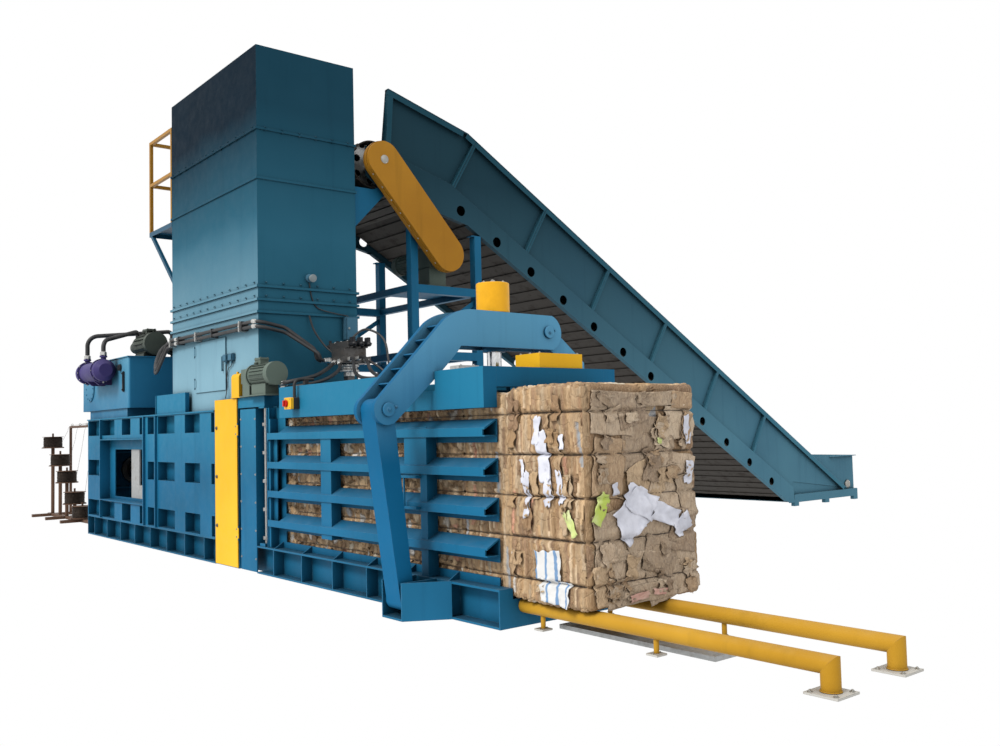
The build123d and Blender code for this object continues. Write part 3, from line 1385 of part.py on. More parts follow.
def under_run(y, depth):
    """A point square below the carrying run."""
    if y < knee_y:
        return (y, run_top[0][1] - (y - head_y) * tan(head_start) - depth / cos(head_start))
    return (y, knee_z - (y - knee_y) * slope - depth / cos(radians(incline)))


# Conveyor bed: slider plate inside the belt, cross tubes, and the loading trough at the tail
with BuildPart() as conveyor_bed:
    inside_x = (2 * belt_middle - skirt_x[0], skirt_x[0])
    bed_top = belt_sheet + gap
    bed = [under_run(y, bed_top) for y in (head_y + 330, knee_y, tail_knee_y - 120)]
    bed_low = [under_run(y, bed_top + 6) for y in (tail_knee_y - 120, knee_y, head_y + 330)]
    profile_x(bed + bed_low, inside_x)
    for n in range(6):
        at = Vector(*run_top[1]) + skirt_run * (hole_pitch * (2 * n + 1) + 5) - skirt_out * 76
        with BuildSketch(Plane.YZ.offset(inside_x[0])) as cross:
            with Locations(Location((at.X, at.Y, 0), (0, 0, -incline))):
                Rectangle(80, 62)
                Rectangle(68, 50, mode=Mode.SUBTRACT)
        extrude(cross.sketch, amount=inside_x[1] - inside_x[0])
    trough_x = inside_x
    for end in (0, 1):
        outer = trough_x[end]
        inner = outer + 10 * (1 - 2 * end)
        rail_out = conveyor_x[end]
        plate((outer, inner), (tail_knee_y, conveyor_end), (lip_low, trough_top))
        plate((outer, rail_out), (tail_knee_y, conveyor_end), (lip_low, lip_top))
        plate((outer, rail_out), (skirt_end.X - 400, conveyor_end), (trough_top - 12, trough_top))
        for y in (tail_knee_y + 60, (tail_knee_y + conveyor_end) / 2, conveyor_end - 60):
            plate((outer, rail_out), (y - 60, y + 60), (0, lip_low))
        round_bar(((outer + inner) / 2, *tail_centre), "X", 2 * tail_shaft_r, 30)
        round_bar(((outer + inner) / 2, *tail_centre), "X", tail_shaft_r + gap, 40, mode=Mode.SUBTRACT)
    plate(trough_x, (tail_knee_y, conveyor_end), (lip_low, lip_low + 10))
    plate(trough_x, (conveyor_end - 10, conveyor_end), (lip_low, trough_top))
save(conveyor_bed, "conveyor_bed")


def sprocket(x, y, z, radius, teeth):
    """A toothed disc on an X axis."""
    with BuildSketch(Plane.YZ.offset(x - 20)) as disc:
        with Locations((y, z)):
            Circle(radius)
            with PolarLocations(radius, teeth):
                Circle(radius * 0.14, mode=Mode.SUBTRACT)
            with PolarLocations(radius * 0.6, 5):
                Circle(radius * 0.16, mode=Mode.SUBTRACT)
    extrude(disc.sketch, amount=40)


sprocket_x = [belt_middle + belt_half * f for f in (-0.85, -0.28, 0.28, 0.85)]
with BuildPart() as head_shaft:
    round_bar((belt_middle + 20, head_y, head_z), "X", shaft_r, conveyor_x[1] - conveyor_x[0] + 100)
    for x in sprocket_x:
        sprocket(x, head_y, head_z, head_r - belt_sheet - 4, 14)
save(head_shaft, "head_shaft")

with BuildPart() as tail_shaft:
    round_bar((belt_middle, *tail_centre), "X", tail_shaft_r, trough_x[1] - trough_x[0] + 20)
    for x in sprocket_x:
        round_bar((x, *tail_centre), "X", tail_r - belt_sheet - 4, 60)
save(tail_shaft, "tail_shaft")

# Chain guard at the head: a hollow shell with round ends, on stand-offs
guard_near = (conveyor_x[1] + 50, conveyor_x[1] + 50 + drive_guard_depth)
guard_turn = degrees(atan2(drive_z - head_z, drive_y - head_y))
guard_middle = ((head_y + drive_y) / 2, (head_z + drive_z) / 2)
guard_run = hypot(drive_y - head_y, drive_z - head_z)
drive_shaft_r = 30


def guard_outline(x, radius):
    """A slot shape over both chain wheels."""
    with BuildSketch(Plane.YZ.offset(x)) as face:
        with Locations(Location((guard_middle[0], guard_middle[1], 0), (0, 0, guard_turn))):
            SlotCenterToCenter(guard_run, 2 * radius)
    return face.sketch


with BuildPart() as drive_guard:
    extrude(guard_outline(guard_near[0], drive_guard_r), amount=drive_guard_depth)
    hollow = guard_outline(guard_near[0] + 4, drive_guard_r - 4)
    extrude(hollow, amount=drive_guard_depth - 8, mode=Mode.SUBTRACT)
    extrude(guard_outline(guard_near[0] + drive_guard_depth / 2 - 15, drive_guard_r + 8), amount=30)
    hollow = guard_outline(guard_near[0] + 4, drive_guard_r - 4)
    extrude(hollow, amount=drive_guard_depth - 8, mode=Mode.SUBTRACT)
    for y, z in ((head_y, head_z), (drive_y, drive_z)):
        round_bar((guard_near[0], y, z), "X", 80, 30, mode=Mode.SUBTRACT)
    for y, z in ((head_y - 60, head_z + 130), (head_y + 120, head_z - 120)):
        round_bar(((conveyor_x[1] + guard_near[0]) / 2, y, z), "X", 15, guard_near[0] - conveyor_x[1])
save(drive_guard, "drive_guard")

# Gearmotor on the support platform: gearbox with its output shaft, motor, foot
motor_run = (-420, 180)
gearbox_x = (180, 440)
with BuildPart() as drive_gearmotor:
    plate(gearbox_x, (drive_y - 130, drive_y + 130), (drive_z - 140, drive_z + 130))
    fillet(drive_gearmotor.edges().filter_by(Axis.X), radius=30)
    round_bar((gearbox_x[1] + 20, drive_y, drive_z), "X", 70, 40)
    round_bar(((gearbox_x[1] + guard_near[1] - 30) / 2, drive_y, drive_z), "X", drive_shaft_r, guard_near[1] - 30 - gearbox_x[1])
    round_bar((sum(motor_run) / 2, drive_y, drive_z), "X", 110, motor_run[1] - motor_run[0])
    round_bar((motor_run[0] + 45, drive_y, drive_z), "X", 122, 90)
    round_bar((motor_run[1] - 15, drive_y, drive_z), "X", 125, 30)
    with Locations(Location((sum(motor_run) / 2 + 20, drive_y, drive_z), (0, 90, 0))):
        with PolarLocations(115, 16):
            Box(20, 5, 360)
    plate((gearbox_x[0] + 20, gearbox_x[1] - 20), (drive_y - 120, drive_y + 120), (platform_beam_z + 8, drive_z - 140))
    plate((gearbox_x[0] - 20, gearbox_x[1] + 20), (drive_y - 170, drive_y + 170), (platform_beam_z, platform_beam_z + 16))
save(drive_gearmotor, "drive_gearmotor")

# Support under the conveyor: four columns, cross beams, diagonals and the drive platform
near_column = (conveyor_x[1] - support_tube, conveyor_x[1])
far_column = (conveyor_x[0], conveyor_x[0] + support_tube)
low_beam_z = 2340


def stringer_foot(y):
    """Height of the stringer's lower edge above a place along the conveyor."""
    if y < low_knee[0]:
        start = (head_y + 20, head_z - head_r - 10)
        return start[1] + (y - start[0]) * (low_knee[1] - start[1]) / (low_knee[0] - start[0])
    return low_knee[1] + (y - low_knee[0]) * (web_end[1] - low_knee[1]) / (web_end[0] - low_knee[0])


with BuildPart() as conveyor_support:
    for x in (near_column, far_column):
        for y in support_y:
            top = stringer_foot(y + support_tube / 2)
            plate(x, (y - support_tube / 2, y + support_tube / 2), (0, top))
            plate((x[0] - 60, x[1] + 60), (y - 110, y + 110), (0, flange_sheet))
            plate(x, (y - 90, y + support_tube / 2), (top - 12, top))
        for z in (low_beam_z, platform_beam_z):
            plate(x, support_y, (z - support_tube, z))
        flat_bar((support_y[0], low_beam_z + 40), (support_y[1], platform_beam_z - 140), 60, 12, x[0] + 44)
        flat_bar((support_y[0], 700), (support_y[1], low_beam_z - 140), 60, 12, x[0] + 44)
    for y in support_y:
        for z in (low_beam_z, platform_beam_z):
            plate((far_column[0], near_column[1]), (y - 40, y + 40), (z - 80, z))
    deck_y = (support_y[0] + 40, support_y[1] - 40)
    plate((motor_run[0] - 100, near_column[0]), deck_y, (platform_beam_z - 8, platform_beam_z))
save(conveyor_support, "conveyor_support")

# Chute below the head of the belt, closing the gap to the tower
chute_y = (tower_half + 14, head_y + 140)
chute_top = head_z - head_r - 40
with BuildPart() as inlet_chute:
    for x in (conveyor_x[0], conveyor_x[1] - 8):
        profile_x(
            [
                (chute_y[0], inlet_z[0] - 20),
                (chute_y[0], chute_top),
                (head_y - 60, chute_top),
                (head_y + 20, head_z - head_r - 10),
                (chute_y[1], stringer_foot(chute_y[1])),
            ],
            (x, x + 8),
        )
    profile_x(
        [
            (chute_y[0], inlet_z[0] - 20),
            (chute_y[0], inlet_z[0] - 4),
            (chute_y[1] - 12, chute_top),
            (chute_y[1], chute_top),
        ],
        (conveyor_x[0], conveyor_x[1]),
    )
    plate((conveyor_x[0], conveyor_x[1]), (chute_y[0], chute_y[0] + 8), (inlet_z[0] - 100, inlet_z[0] - 10))
save(inlet_chute, "inlet_chute")

# Wire stand: five posts of falling height on a floor rail, each with a dish and a pin
stand_half = 190
pin_rise = 60
spindle_r = 16
with BuildPart() as spool_stand:
    plate((spool_x[0] - 200, body_back), (spool_y - 40, spool_y + 40), (0, 50))
    for x in (spool_x[0], spool_x[2], spool_x[4]):
        plate((x - 40, x + 40), (spool_y - 350, spool_y + 350), (0, 50))
    for x, top in zip(spool_x, spool_tops):
        dish = top - spool_height
        round_bar((x, spool_y, dish / 2), "Z", 30, dish)
        round_bar((x, spool_y, dish - 6), "Z", stand_half, 12)
        round_bar((x, spool_y, (dish + top + pin_rise) / 2), "Z", spindle_r, spool_height + pin_rise)
    plate((spool_x[0] - 20, spool_x[0] + 20), (spool_y + 290, spool_y + 330), (0, 1640))
    plate((spool_x[4] - 20, spool_x[4] + 20), (spool_y + 290, spool_y + 330), (0, 1640))
    plate((spool_x[0] - 20, spool_x[4] + 20), (spool_y + 290, spool_y + 330), (1600, 1640))
save(spool_stand, "spool_stand")

# Wire spools: two cheeks, a core and the wound wire between them
for n, (x, top) in enumerate(zip(spool_x, spool_tops), 1):
    low = top - spool_height + gap
    high = top
    with BuildPart() as spool:
        round_bar((x, spool_y, (low + high) / 2), "Z", 0.82 * spool_r, high - low)
        round_bar((x, spool_y, low + 4), "Z", spool_r, 8)
        round_bar((x, spool_y, high - 4), "Z", spool_r, 8)
        round_bar((x, spool_y, (low + high) / 2), "Z", spindle_r + running_fit, high - low, mode=Mode.SUBTRACT)
        round_bar((x, spool_y, high - 6), "Z", 60, 12 + 2, mode=Mode.SUBTRACT)
    save(spool, f"spool_{n}")
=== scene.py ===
import random
from math import atan2, cos, exp, floor, pi, radians, sin

import bmesh
import bpy
from mathutils import Matrix, Vector, noise


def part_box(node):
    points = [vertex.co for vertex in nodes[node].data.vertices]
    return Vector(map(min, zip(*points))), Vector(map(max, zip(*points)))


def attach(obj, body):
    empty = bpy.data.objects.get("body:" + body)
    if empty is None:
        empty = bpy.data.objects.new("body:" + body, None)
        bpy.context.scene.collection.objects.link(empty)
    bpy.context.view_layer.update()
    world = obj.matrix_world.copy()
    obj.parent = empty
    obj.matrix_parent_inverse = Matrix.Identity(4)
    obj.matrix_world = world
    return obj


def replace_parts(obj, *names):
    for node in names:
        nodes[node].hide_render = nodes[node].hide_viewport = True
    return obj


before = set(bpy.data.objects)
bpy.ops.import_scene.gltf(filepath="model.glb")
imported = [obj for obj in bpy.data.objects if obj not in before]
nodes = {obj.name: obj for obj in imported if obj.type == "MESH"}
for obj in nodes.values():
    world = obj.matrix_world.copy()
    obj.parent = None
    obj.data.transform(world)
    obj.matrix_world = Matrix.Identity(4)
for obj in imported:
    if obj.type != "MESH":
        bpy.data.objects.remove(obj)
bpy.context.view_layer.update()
rng = random.Random(11)
X, Y, Z = 0, 1, 2
near, ahead, upward = Vector((0, -1, 0)), Vector((1, 0, 0)), Vector((0, 0, 1))


# Camera, light and white surroundings

camera_place = Vector((9.8, -4.886, 1.4))
camera_angles = (50.858, 3.327, -1.396)
camera_lens = 34.394
camera_reach = 200.0


def look_matrix(place, yaw, pitch, roll):
    """Camera matrix from its place and its angles in degrees."""
    y, p, r = radians(yaw), radians(pitch), radians(roll)
    aim = Vector((-sin(y) * cos(p), cos(y) * cos(p), sin(p)))
    side = aim.cross(upward).normalized()
    over = side.cross(aim)
    right = side * cos(r) + over * sin(r)
    up = over * cos(r) - side * sin(r)
    turn = Matrix((right, up, -aim)).transposed().to_4x4()
    return Matrix.Translation(place) @ turn


def sun(name, strength, angle, azimuth, height, colour):
    """A distant lamp; its width and the direction it shines from are in degrees."""
    light = bpy.data.lights.new(name, "SUN")
    light.energy = strength
    light.angle = radians(angle)
    light.color = colour
    body = bpy.data.objects.new(name, light)
    bpy.context.scene.collection.objects.link(body)
    a, h = radians(azimuth), radians(height)
    source = Vector((cos(h) * cos(a), cos(h) * sin(a), sin(h)))
    body.rotation_euler = source.to_track_quat("Z", "Y").to_euler()


def set_stage():
    """The camera, the white world and two lamps."""
    scene = bpy.context.scene
    camera = bpy.data.cameras.new("camera")
    camera.lens = camera_lens
    camera.clip_end = camera_reach
    body = bpy.data.objects.new("camera", camera)
    scene.collection.objects.link(body)
    body.matrix_world = look_matrix(camera_place, *camera_angles)
    scene.camera = body
    world = bpy.data.worlds.new("surroundings")
    world.use_nodes = True
    sky = world.node_tree.nodes["Background"].inputs
    sky["Color"].default_value = (1, 1, 1, 1)
    sky["Strength"].default_value = 1.0
    scene.world = world
    sun("key_light", 2.7, 18, -88, 42, (1.0, 0.98, 0.95))
    sun("fill_light", 0.25, 40, 10, 30, (0.92, 0.96, 1.0))
    scene.view_settings.view_transform = "Standard"


set_stage()


# Material building

flat_cosine, worn_cosine = 0.999, 0.97


class Paint:
    """A small wrapper that builds one node material."""

    def __init__(self, name):
        self.material = bpy.data.materials.new(name)
        self.material.use_nodes = True
        self.tree = self.material.node_tree
        self.tree.nodes.clear()
        out = self.tree.nodes.new("ShaderNodeOutputMaterial")
        self.surface = self.tree.nodes.new("ShaderNodeBsdfPrincipled")
        self.tree.links.new(self.surface.outputs[0], out.inputs[0])
        self.place = self.tree.nodes.new("ShaderNodeTexCoord").outputs["Object"]
        self.normal = self.tree.nodes.new("ShaderNodeNewGeometry").outputs["Normal"]

    def put(self, socket, value):
        if isinstance(value, bpy.types.NodeSocket):
            self.tree.links.new(value, socket)
        elif isinstance(value, (tuple, list)) and len(value) == 3 and socket.type == "RGBA":
            socket.default_value = (*value, 1)
        else:
            socket.default_value = value

    def node(self, kind, inputs, **settings):
        """A new node with its settings, and its inputs by name or number."""
        made = self.tree.nodes.new(kind)
        for key, value in settings.items():
            setattr(made, key, value)
        for key, value in inputs.items():
            self.put(made.inputs[key], value)
        return made

    def add(self, a, b):
        return self.node("ShaderNodeMath", {0: a, 1: b}, operation="ADD").outputs[0]

    def times(self, a, b):
        return self.node("ShaderNodeMath", {0: a, 1: b}, operation="MULTIPLY").outputs[0]

    def stretch(self, x, y, z):
        return self.node("ShaderNodeMapping", {"Vector": self.place, "Scale": (x, y, z)}).outputs[0]

    def noise(self, scale, detail=3.0, rough=0.55, source=None):
        inputs = {"Vector": source or self.place, "Scale": scale, "Detail": detail, "Roughness": rough}
        return self.node("ShaderNodeTexNoise", inputs).outputs[0]

    def cell_edges(self, scale, source):
        inputs = {"Vector": source, "Scale": scale}
        return self.node("ShaderNodeTexVoronoi", inputs, feature="DISTANCE_TO_EDGE").outputs[0]

    def band(self, value, low, high):
        """0 at the first value and 1 at the second, with a straight rise between them."""
        inputs = {"Value": value, "From Min": low, "From Max": high}
        return self.node("ShaderNodeMapRange", inputs, clamp=True).outputs[0]

    def mix(self, factor, a, b, blend="MIX"):
        inputs = {0: factor, 6: a, 7: b}
        return self.node("ShaderNodeMix", inputs, data_type="RGBA", blend_type=blend).outputs[2]

    def lay(self, base, tone, mask, amount, blend="MIX"):
        """A tone over a base where the mask says, by the amount given."""
        return self.mix(self.times(mask, amount), base, tone, blend)

    def split(self, vector, part):
        return self.node("ShaderNodeSeparateXYZ", {0: vector}).outputs[part]

    # Ambient occlusion; the materials paint shade into hollows with it.
    def hollows(self, reach):
        return self.node("ShaderNodeAmbientOcclusion", {"Distance": reach}, samples=4).outputs["AO"]

    def edge_mask(self, radius):
        """Where an edge is near, and the normal that rounds it."""
        edge = self.node("ShaderNodeBevel", {"Radius": radius}, samples=3).outputs[0]
        inputs = {0: edge, 1: self.normal}
        cosine = self.node("ShaderNodeVectorMath", inputs, operation="DOT_PRODUCT").outputs["Value"]
        return self.band(cosine, flat_cosine, worn_cosine), edge

    def chips(self, mask):
        return self.times(mask, self.band(self.noise(30, 4, 0.7), 0.45, 0.62))

    def bump(self, height, strength, distance, normal=None):
        inputs = {"Height": height, "Strength": strength, "Distance": distance}
        if normal is not None:
            inputs["Normal"] = normal
        return self.node("ShaderNodeBump", inputs).outputs[0]

    def finish(self, colour, rough, metal, normal, shine=None):
        inputs = {"Base Color": colour, "Roughness": rough, "Metallic": metal, "Normal": normal}
        if shine is not None:
            inputs["Specular IOR Level"] = shine
        for key, value in inputs.items():
            self.put(self.surface.inputs[key], value)
        return self.material


def painted(
    name, colour, light, worn, rough=0.42, dust_and_sheen=0.12, wear=0.5, edge=0.004, streaks=0.3,
    painted_side_light=None, darker_towards_top=None, foot=None, shine=0.1,
):
    """Machine paint: patchy tone, a dusty grey with a painted sky sheen on level faces, painted shade in
    corners, wear along edges.

    glow is painted light: a side, two heights and a lighter tone that grows from the first height to the
    second on faces that look at that side; fade is two heights, a darker tone and its least share on faces
    that don't look
    at the near side: the paint darkens from the first height to the second; foot is a height and the tone
    under it.
    """
    p = Paint(name)
    broad = p.noise(0.7, 3)
    fine = p.noise(9, 5, 0.65)
    base = p.mix(p.band(broad, 0.3, 0.72), colour, light)
    base = p.lay(base, light, p.band(fine, 0.5, 0.8), 0.25)
    level = p.split(p.place, Z)
    height = p.add(level, p.times(broad, 0.7))
    front = p.band(p.times(p.split(p.normal, Y), -1.0), 0.3, 0.9)
    # Painted light: faces that look at the given side take a lighter tone, growing between two heights.
    if painted_side_light:
        side, low, high, tone = painted_side_light
        turned = front if side == Y else p.band(p.split(p.normal, X), 0.3, 0.9)
        base = p.lay(base, tone, p.band(height, low, high), turned)
    # Darker from the first height to the second, most on faces that look at the near side.
    if darker_towards_top:
        low, high, tone, least = darker_towards_top
        part = p.add(least, p.times(front, 1 - least))
        base = p.lay(base, tone, p.band(height, low, high), part, "MULTIPLY")
    runs = p.noise(1.0, 4, 0.6, p.stretch(9, 9, 0.55))
    base = p.lay(base, (0.45, 0.5, 0.55), p.band(runs, 0.55, 0.8), streaks, "MULTIPLY")
    # Level faces turn a dusty grey: real dirt, and a painted sky sheen on the tops.
    dust_and_top_sheen = p.times(p.band(p.split(p.normal, Z), 0.4, 0.95), p.band(fine, 0.25, 0.7))
    base = p.lay(base, (0.25, 0.26, 0.25), dust_and_top_sheen, dust_and_sheen)
    if foot:
        low, tone = foot
        base = p.mix(p.band(level, low + 0.001, low), base, tone)
    # Painted shade: corners and hollows darken towards a sixth of the paint's colour, by ambient occlusion.
    corner = p.band(p.hollows(0.3), 0.78, 0.22)
    base = p.lay(base, tuple(0.16 * c + 0.001 for c in colour), corner, 0.8)
    mask, normal = p.edge_mask(edge)
    base = p.lay(base, worn, p.chips(mask), wear)
    normal = p.bump(p.noise(55, 2), 0.05, 0.01, normal)
    normal = p.bump(p.noise(1.6, 2), 0.2, 0.02, normal)
    return p.finish(base, p.add(rough, p.times(p.band(fine, 0.3, 0.8), 0.22)), 0.0, normal, shine)


def two_tone(name, axis, low, high, first, second):
    """Paint that changes along one axis of the piece."""
    p = Paint(name)
    base = p.mix(p.band(p.split(p.place, axis), low, high), first, second)
    base = p.lay(base, (0.6, 0.6, 0.6), p.band(p.noise(9, 5, 0.65), 0.45, 0.75), 0.3, "MULTIPLY")
    # Painted shade: darker in hollows.
    base = p.lay(base, (0.3, 0.3, 0.3), p.band(p.hollows(0.08), 0.8, 0.25), 0.6, "MULTIPLY")
    mask, normal = p.edge_mask(0.003)
    base = p.lay(base, (0.22, 0.18, 0.13), p.chips(mask), 0.5)
    return p.finish(base, 0.4, 0.0, normal, 0.15)


def metal(name, colour, rough, metalness, stain=(0.08, 0.05, 0.03), stained=0.4, grain=(1, 1, 1)):
    """Bare or rusted metal with stains."""
    p = Paint(name)
    scratch = p.noise(40, 3, 0.6, p.stretch(*grain))
    base = p.mix(p.band(scratch, 0.3, 0.75), tuple(0.75 * c for c in colour), colour)
    rust = p.band(p.noise(6, 6, 0.7), 0.52, 0.7)
    base = p.lay(base, stain, rust, stained)
    mask, normal = p.edge_mask(0.002)
    base = p.lay(base, tuple(min(1, 1.5 * c) for c in colour), mask, 0.35)
    normal = p.bump(scratch, 0.12, 0.003, normal)
    return p.finish(base, p.add(rough, p.times(rust, 0.3)), metalness, normal)


def rubber(name, colour):
    """Hose and cable skin, a little paler in patches."""
    p = Paint(name)
    base = p.mix(p.band(p.noise(5, 4), 0.45, 0.75), colour, tuple(c + 0.022 for c in colour))
    return p.finish(base, 0.55, 0.0, p.bump(p.noise(70, 3), 0.25, 0.002))


def plain(name, colour, rough, second=None, mix_scale=6.0):
    """Plastic or paper with slight patches."""
    p = Paint(name)
    second = second or tuple(0.8 * c for c in colour)
    base = p.mix(p.band(p.noise(mix_scale, 4, 0.6), 0.4, 0.65), colour, second)
    # Painted shade: darker in hollows.
    base = p.lay(base, tuple(0.3 * c for c in colour), p.band(p.hollows(0.03), 0.7, 0.2), 0.6)
    return p.finish(base, rough, 0.0, p.bump(p.noise(40, 3), 0.15, 0.002), 0.2)


def striped(name):
    """Woven sack with pale blue stripes."""
    p = Paint(name)
    inputs = {"Vector": p.place, "Scale": 3.4, "Distortion": 1.2}
    wave = p.node("ShaderNodeTexWave", inputs, wave_type="BANDS", bands_direction="X").outputs[0]
    base = p.mix(p.band(wave, 0.84, 0.93), (0.58, 0.58, 0.57), (0.14, 0.25, 0.42))
    return p.finish(base, 0.7, 0.0, p.bump(p.noise(90, 2), 0.3, 0.002))


def coat(material, *names):
    """Give CAD nodes one material in place of what their slots held."""
    for name in names:
        slots = nodes[name].data.materials
        slots.clear()
        slots.append(material)
    return material


worn_blue = (0.14, 0.21, 0.27)
worn_grey = (0.3, 0.3, 0.28)
# Faces that look at the near side grow lighter from 1.2 m to 2.0 m: painted light.
coat(
    painted(
        "blue_paint", (0.004, 0.08, 0.16), (0.009, 0.12, 0.242), worn_blue, shine=0.07,
        painted_side_light=(Y, 1.2, 2.0, (0.014, 0.148, 0.258)),
    ),
    "press_side_near", "press_side_far", "press_roof", "rear_bulkhead", "tying_column",
    "needle_frame", "channel_side_near", "channel_side_far", "channel_roof", "pressure_plate",
)
# Faces that look ahead grow brighter from 1.5 m to 2.35 m: painted light on the levers.
clamp_blue = coat(
    painted(
        "clamp_paint", (0.003, 0.08, 0.175), (0.006, 0.112, 0.245), worn_blue, shine=0.05,
        painted_side_light=(X, 1.5, 2.35, (0.085, 0.265, 0.42)),
    ),
    "near_arm", "far_arm", "cross_lever",
)
# Faces that look at the near side grow lighter from 2.0 m to 2.9 m: painted light.
tank_blue = coat(
    painted(
        "tank_paint", (0.01, 0.105, 0.205), (0.02, 0.15, 0.28), worn_blue,
        painted_side_light=(Y, 2.0, 2.9, (0.08, 0.24, 0.35)),
    ),
    "oil_tank",
)
coat(
    painted("frame_paint", (0.004, 0.078, 0.15), (0.01, 0.115, 0.225), worn_blue, dust_and_sheen=0.2),
    "base_skid", "clamp_brackets", "conveyor_support", "inlet_chute",
)
# Faces that look at the near side grow paler from 4.1 m down to 2.4 m: painted light. The paint also darkens
# from 3.9 m to 5.3 m.
tower_blue = coat(
    painted(
        "tower_paint", (0.014, 0.082, 0.128), (0.024, 0.108, 0.165), worn_blue, shine=0.03, dust_and_sheen=0.05,
        painted_side_light=(Y, 4.1, 2.4, (0.175, 0.315, 0.39)), darker_towards_top=(3.9, 5.3, (0.05, 0.09, 0.12), 0.6),
    ),
    "hopper_base", "hopper_middle", "hopper_top", "hopper_door",
)
coat(
    painted(
        "conveyor_paint", (0.048, 0.132, 0.188), (0.064, 0.168, 0.226), worn_blue, shine=0.04,
        darker_towards_top=(1.6, 4.8, (0.05, 0.11, 0.12), 0.85),
    ),
    "conveyor_side_near", "conveyor_side_far", "conveyor_bed",
)
coat(
    painted("yellow_paint", (0.66, 0.35, 0.012), (0.74, 0.43, 0.02), (0.4, 0.3, 0.18), streaks=0.12),
    "tying_door", "tying_chain_guard", "exit_cover",
)
coat(
    painted("guard_paint", (0.27, 0.12, 0.01), (0.36, 0.17, 0.015), (0.3, 0.22, 0.15), streaks=0.4),
    "drive_guard",
)
rail_paint = coat(
    painted(
        "rail_paint", (0.36, 0.185, 0.012), (0.47, 0.26, 0.025), (0.16, 0.1, 0.06), wear=0.9,
        foot=(0.0125, (0.42, 0.41, 0.38)),
    ),
    "run_out_rails",
)
motor_paint = coat(
    painted("motor_paint", (0.085, 0.115, 0.095), (0.13, 0.165, 0.14), worn_grey, edge=0.002),
    "tying_motor", "drive_gearmotor",
)
pump_paint = coat(
    painted("pump_paint", (0.045, 0.055, 0.045), (0.085, 0.1, 0.085), worn_grey, edge=0.002),
    "pump_sets",
)
coat(
    painted("cooler_paint", (0.035, 0.028, 0.105), (0.062, 0.05, 0.165), (0.3, 0.3, 0.35), edge=0.002),
    "oil_cooler",
)
coat(
    painted("stand_paint", (0.075, 0.04, 0.026), (0.12, 0.07, 0.045), (0.25, 0.2, 0.16), streaks=0.5),
    "spool_stand", "spool_1", "spool_2", "spool_3", "spool_4", "spool_5",
)
coat(two_tone("railing_paint", Z, 4.065, 4.075, (0.008, 0.06, 0.11), (0.3, 0.145, 0.015)), "service_platform")
coat(two_tone("cap_paint", Z, 2.352, 2.3525, (0.01, 0.09, 0.18), (0.72, 0.36, 0.012)), "tension_cylinder")
# Yellow front cover; behind it near-black, which is the conduit's own black and painted shade on the box's
# sides.
coat(two_tone("isolator_paint_and_shade", Y, -0.735, -0.733, (0.75, 0.4, 0.02), (0.03, 0.03, 0.03)), "isolator_box")
coat(metal("ram_face", (0.34, 0.35, 0.35), 0.5, 0.2, (0.16, 0.13, 0.1), 0.5, (1, 6, 1)), "ram")
coat(
    metal("worn_steel", (0.42, 0.42, 0.41), 0.35, 0.9),
    "shear_knife", "twister_shaft", "needle_carriage", "head_shaft", "tail_shaft",
)
dark_steel = coat(metal("dark_steel", (0.12, 0.115, 0.11), 0.45, 0.8), "main_cylinder", "valve_manifold")
coat(metal("chrome_rod", (0.75, 0.76, 0.77), 0.12, 1.0, stained=0.05), "piston_rod", "tension_rod")
coat(metal("rusted_slats", (0.026, 0.02, 0.014), 0.8, 0.0, (0.014, 0.009, 0.006), 0.7), "conveyor_belt")
coat(metal("tray_steel", (0.4, 0.41, 0.41), 0.4, 0.85, (0.16, 0.14, 0.11), 0.5), "drip_tray")
wire_steel = coat(metal("tie_wire", (0.045, 0.032, 0.024), 0.5, 0.3), "bale_wires")
hose_black = coat(rubber("hose_black", (0.01, 0.01, 0.011)), "hydraulic_hoses")
coat(
    painted("knob_red", (0.5, 0.02, 0.012), (0.6, 0.03, 0.02), (0.5, 0.2, 0.2), rough=0.25, edge=0.002),
    "isolator_knob",
)
frame_blue = painted(
    "skirt_frame_paint", (0.03, 0.12, 0.175), (0.045, 0.15, 0.205), worn_blue, streaks=0.2,
    shine=0.05, darker_towards_top=(1.6, 5.4, (0.12, 0.24, 0.26), 0.85),
)
box_blue = painted("box_paint", (0.035, 0.11, 0.17), (0.06, 0.16, 0.23), worn_blue, edge=0.002)
bolt_steel = metal("bolt_steel", (0.36, 0.35, 0.32), 0.35, 0.9, stained=0.2)
bright_steel = metal("bright_steel", (0.62, 0.62, 0.6), 0.3, 0.8, stained=0.25)
pale_plastic = plain("pale_plastic", (0.22, 0.26, 0.27), 0.45)
black_plastic = plain("black_plastic", (0.02, 0.02, 0.022), 0.4)
paper_white = plain("white_paper", (0.62, 0.63, 0.7), 0.8, (0.47, 0.48, 0.54))
paper_green = plain("green_paper", (0.42, 0.52, 0.1), 0.7, (0.62, 0.64, 0.4), 3.0)
paper_pink = plain("pink_paper", (0.52, 0.3, 0.25), 0.75, (0.6, 0.44, 0.36))
paper_stripe = striped("striped_sack")


# Pressed bales

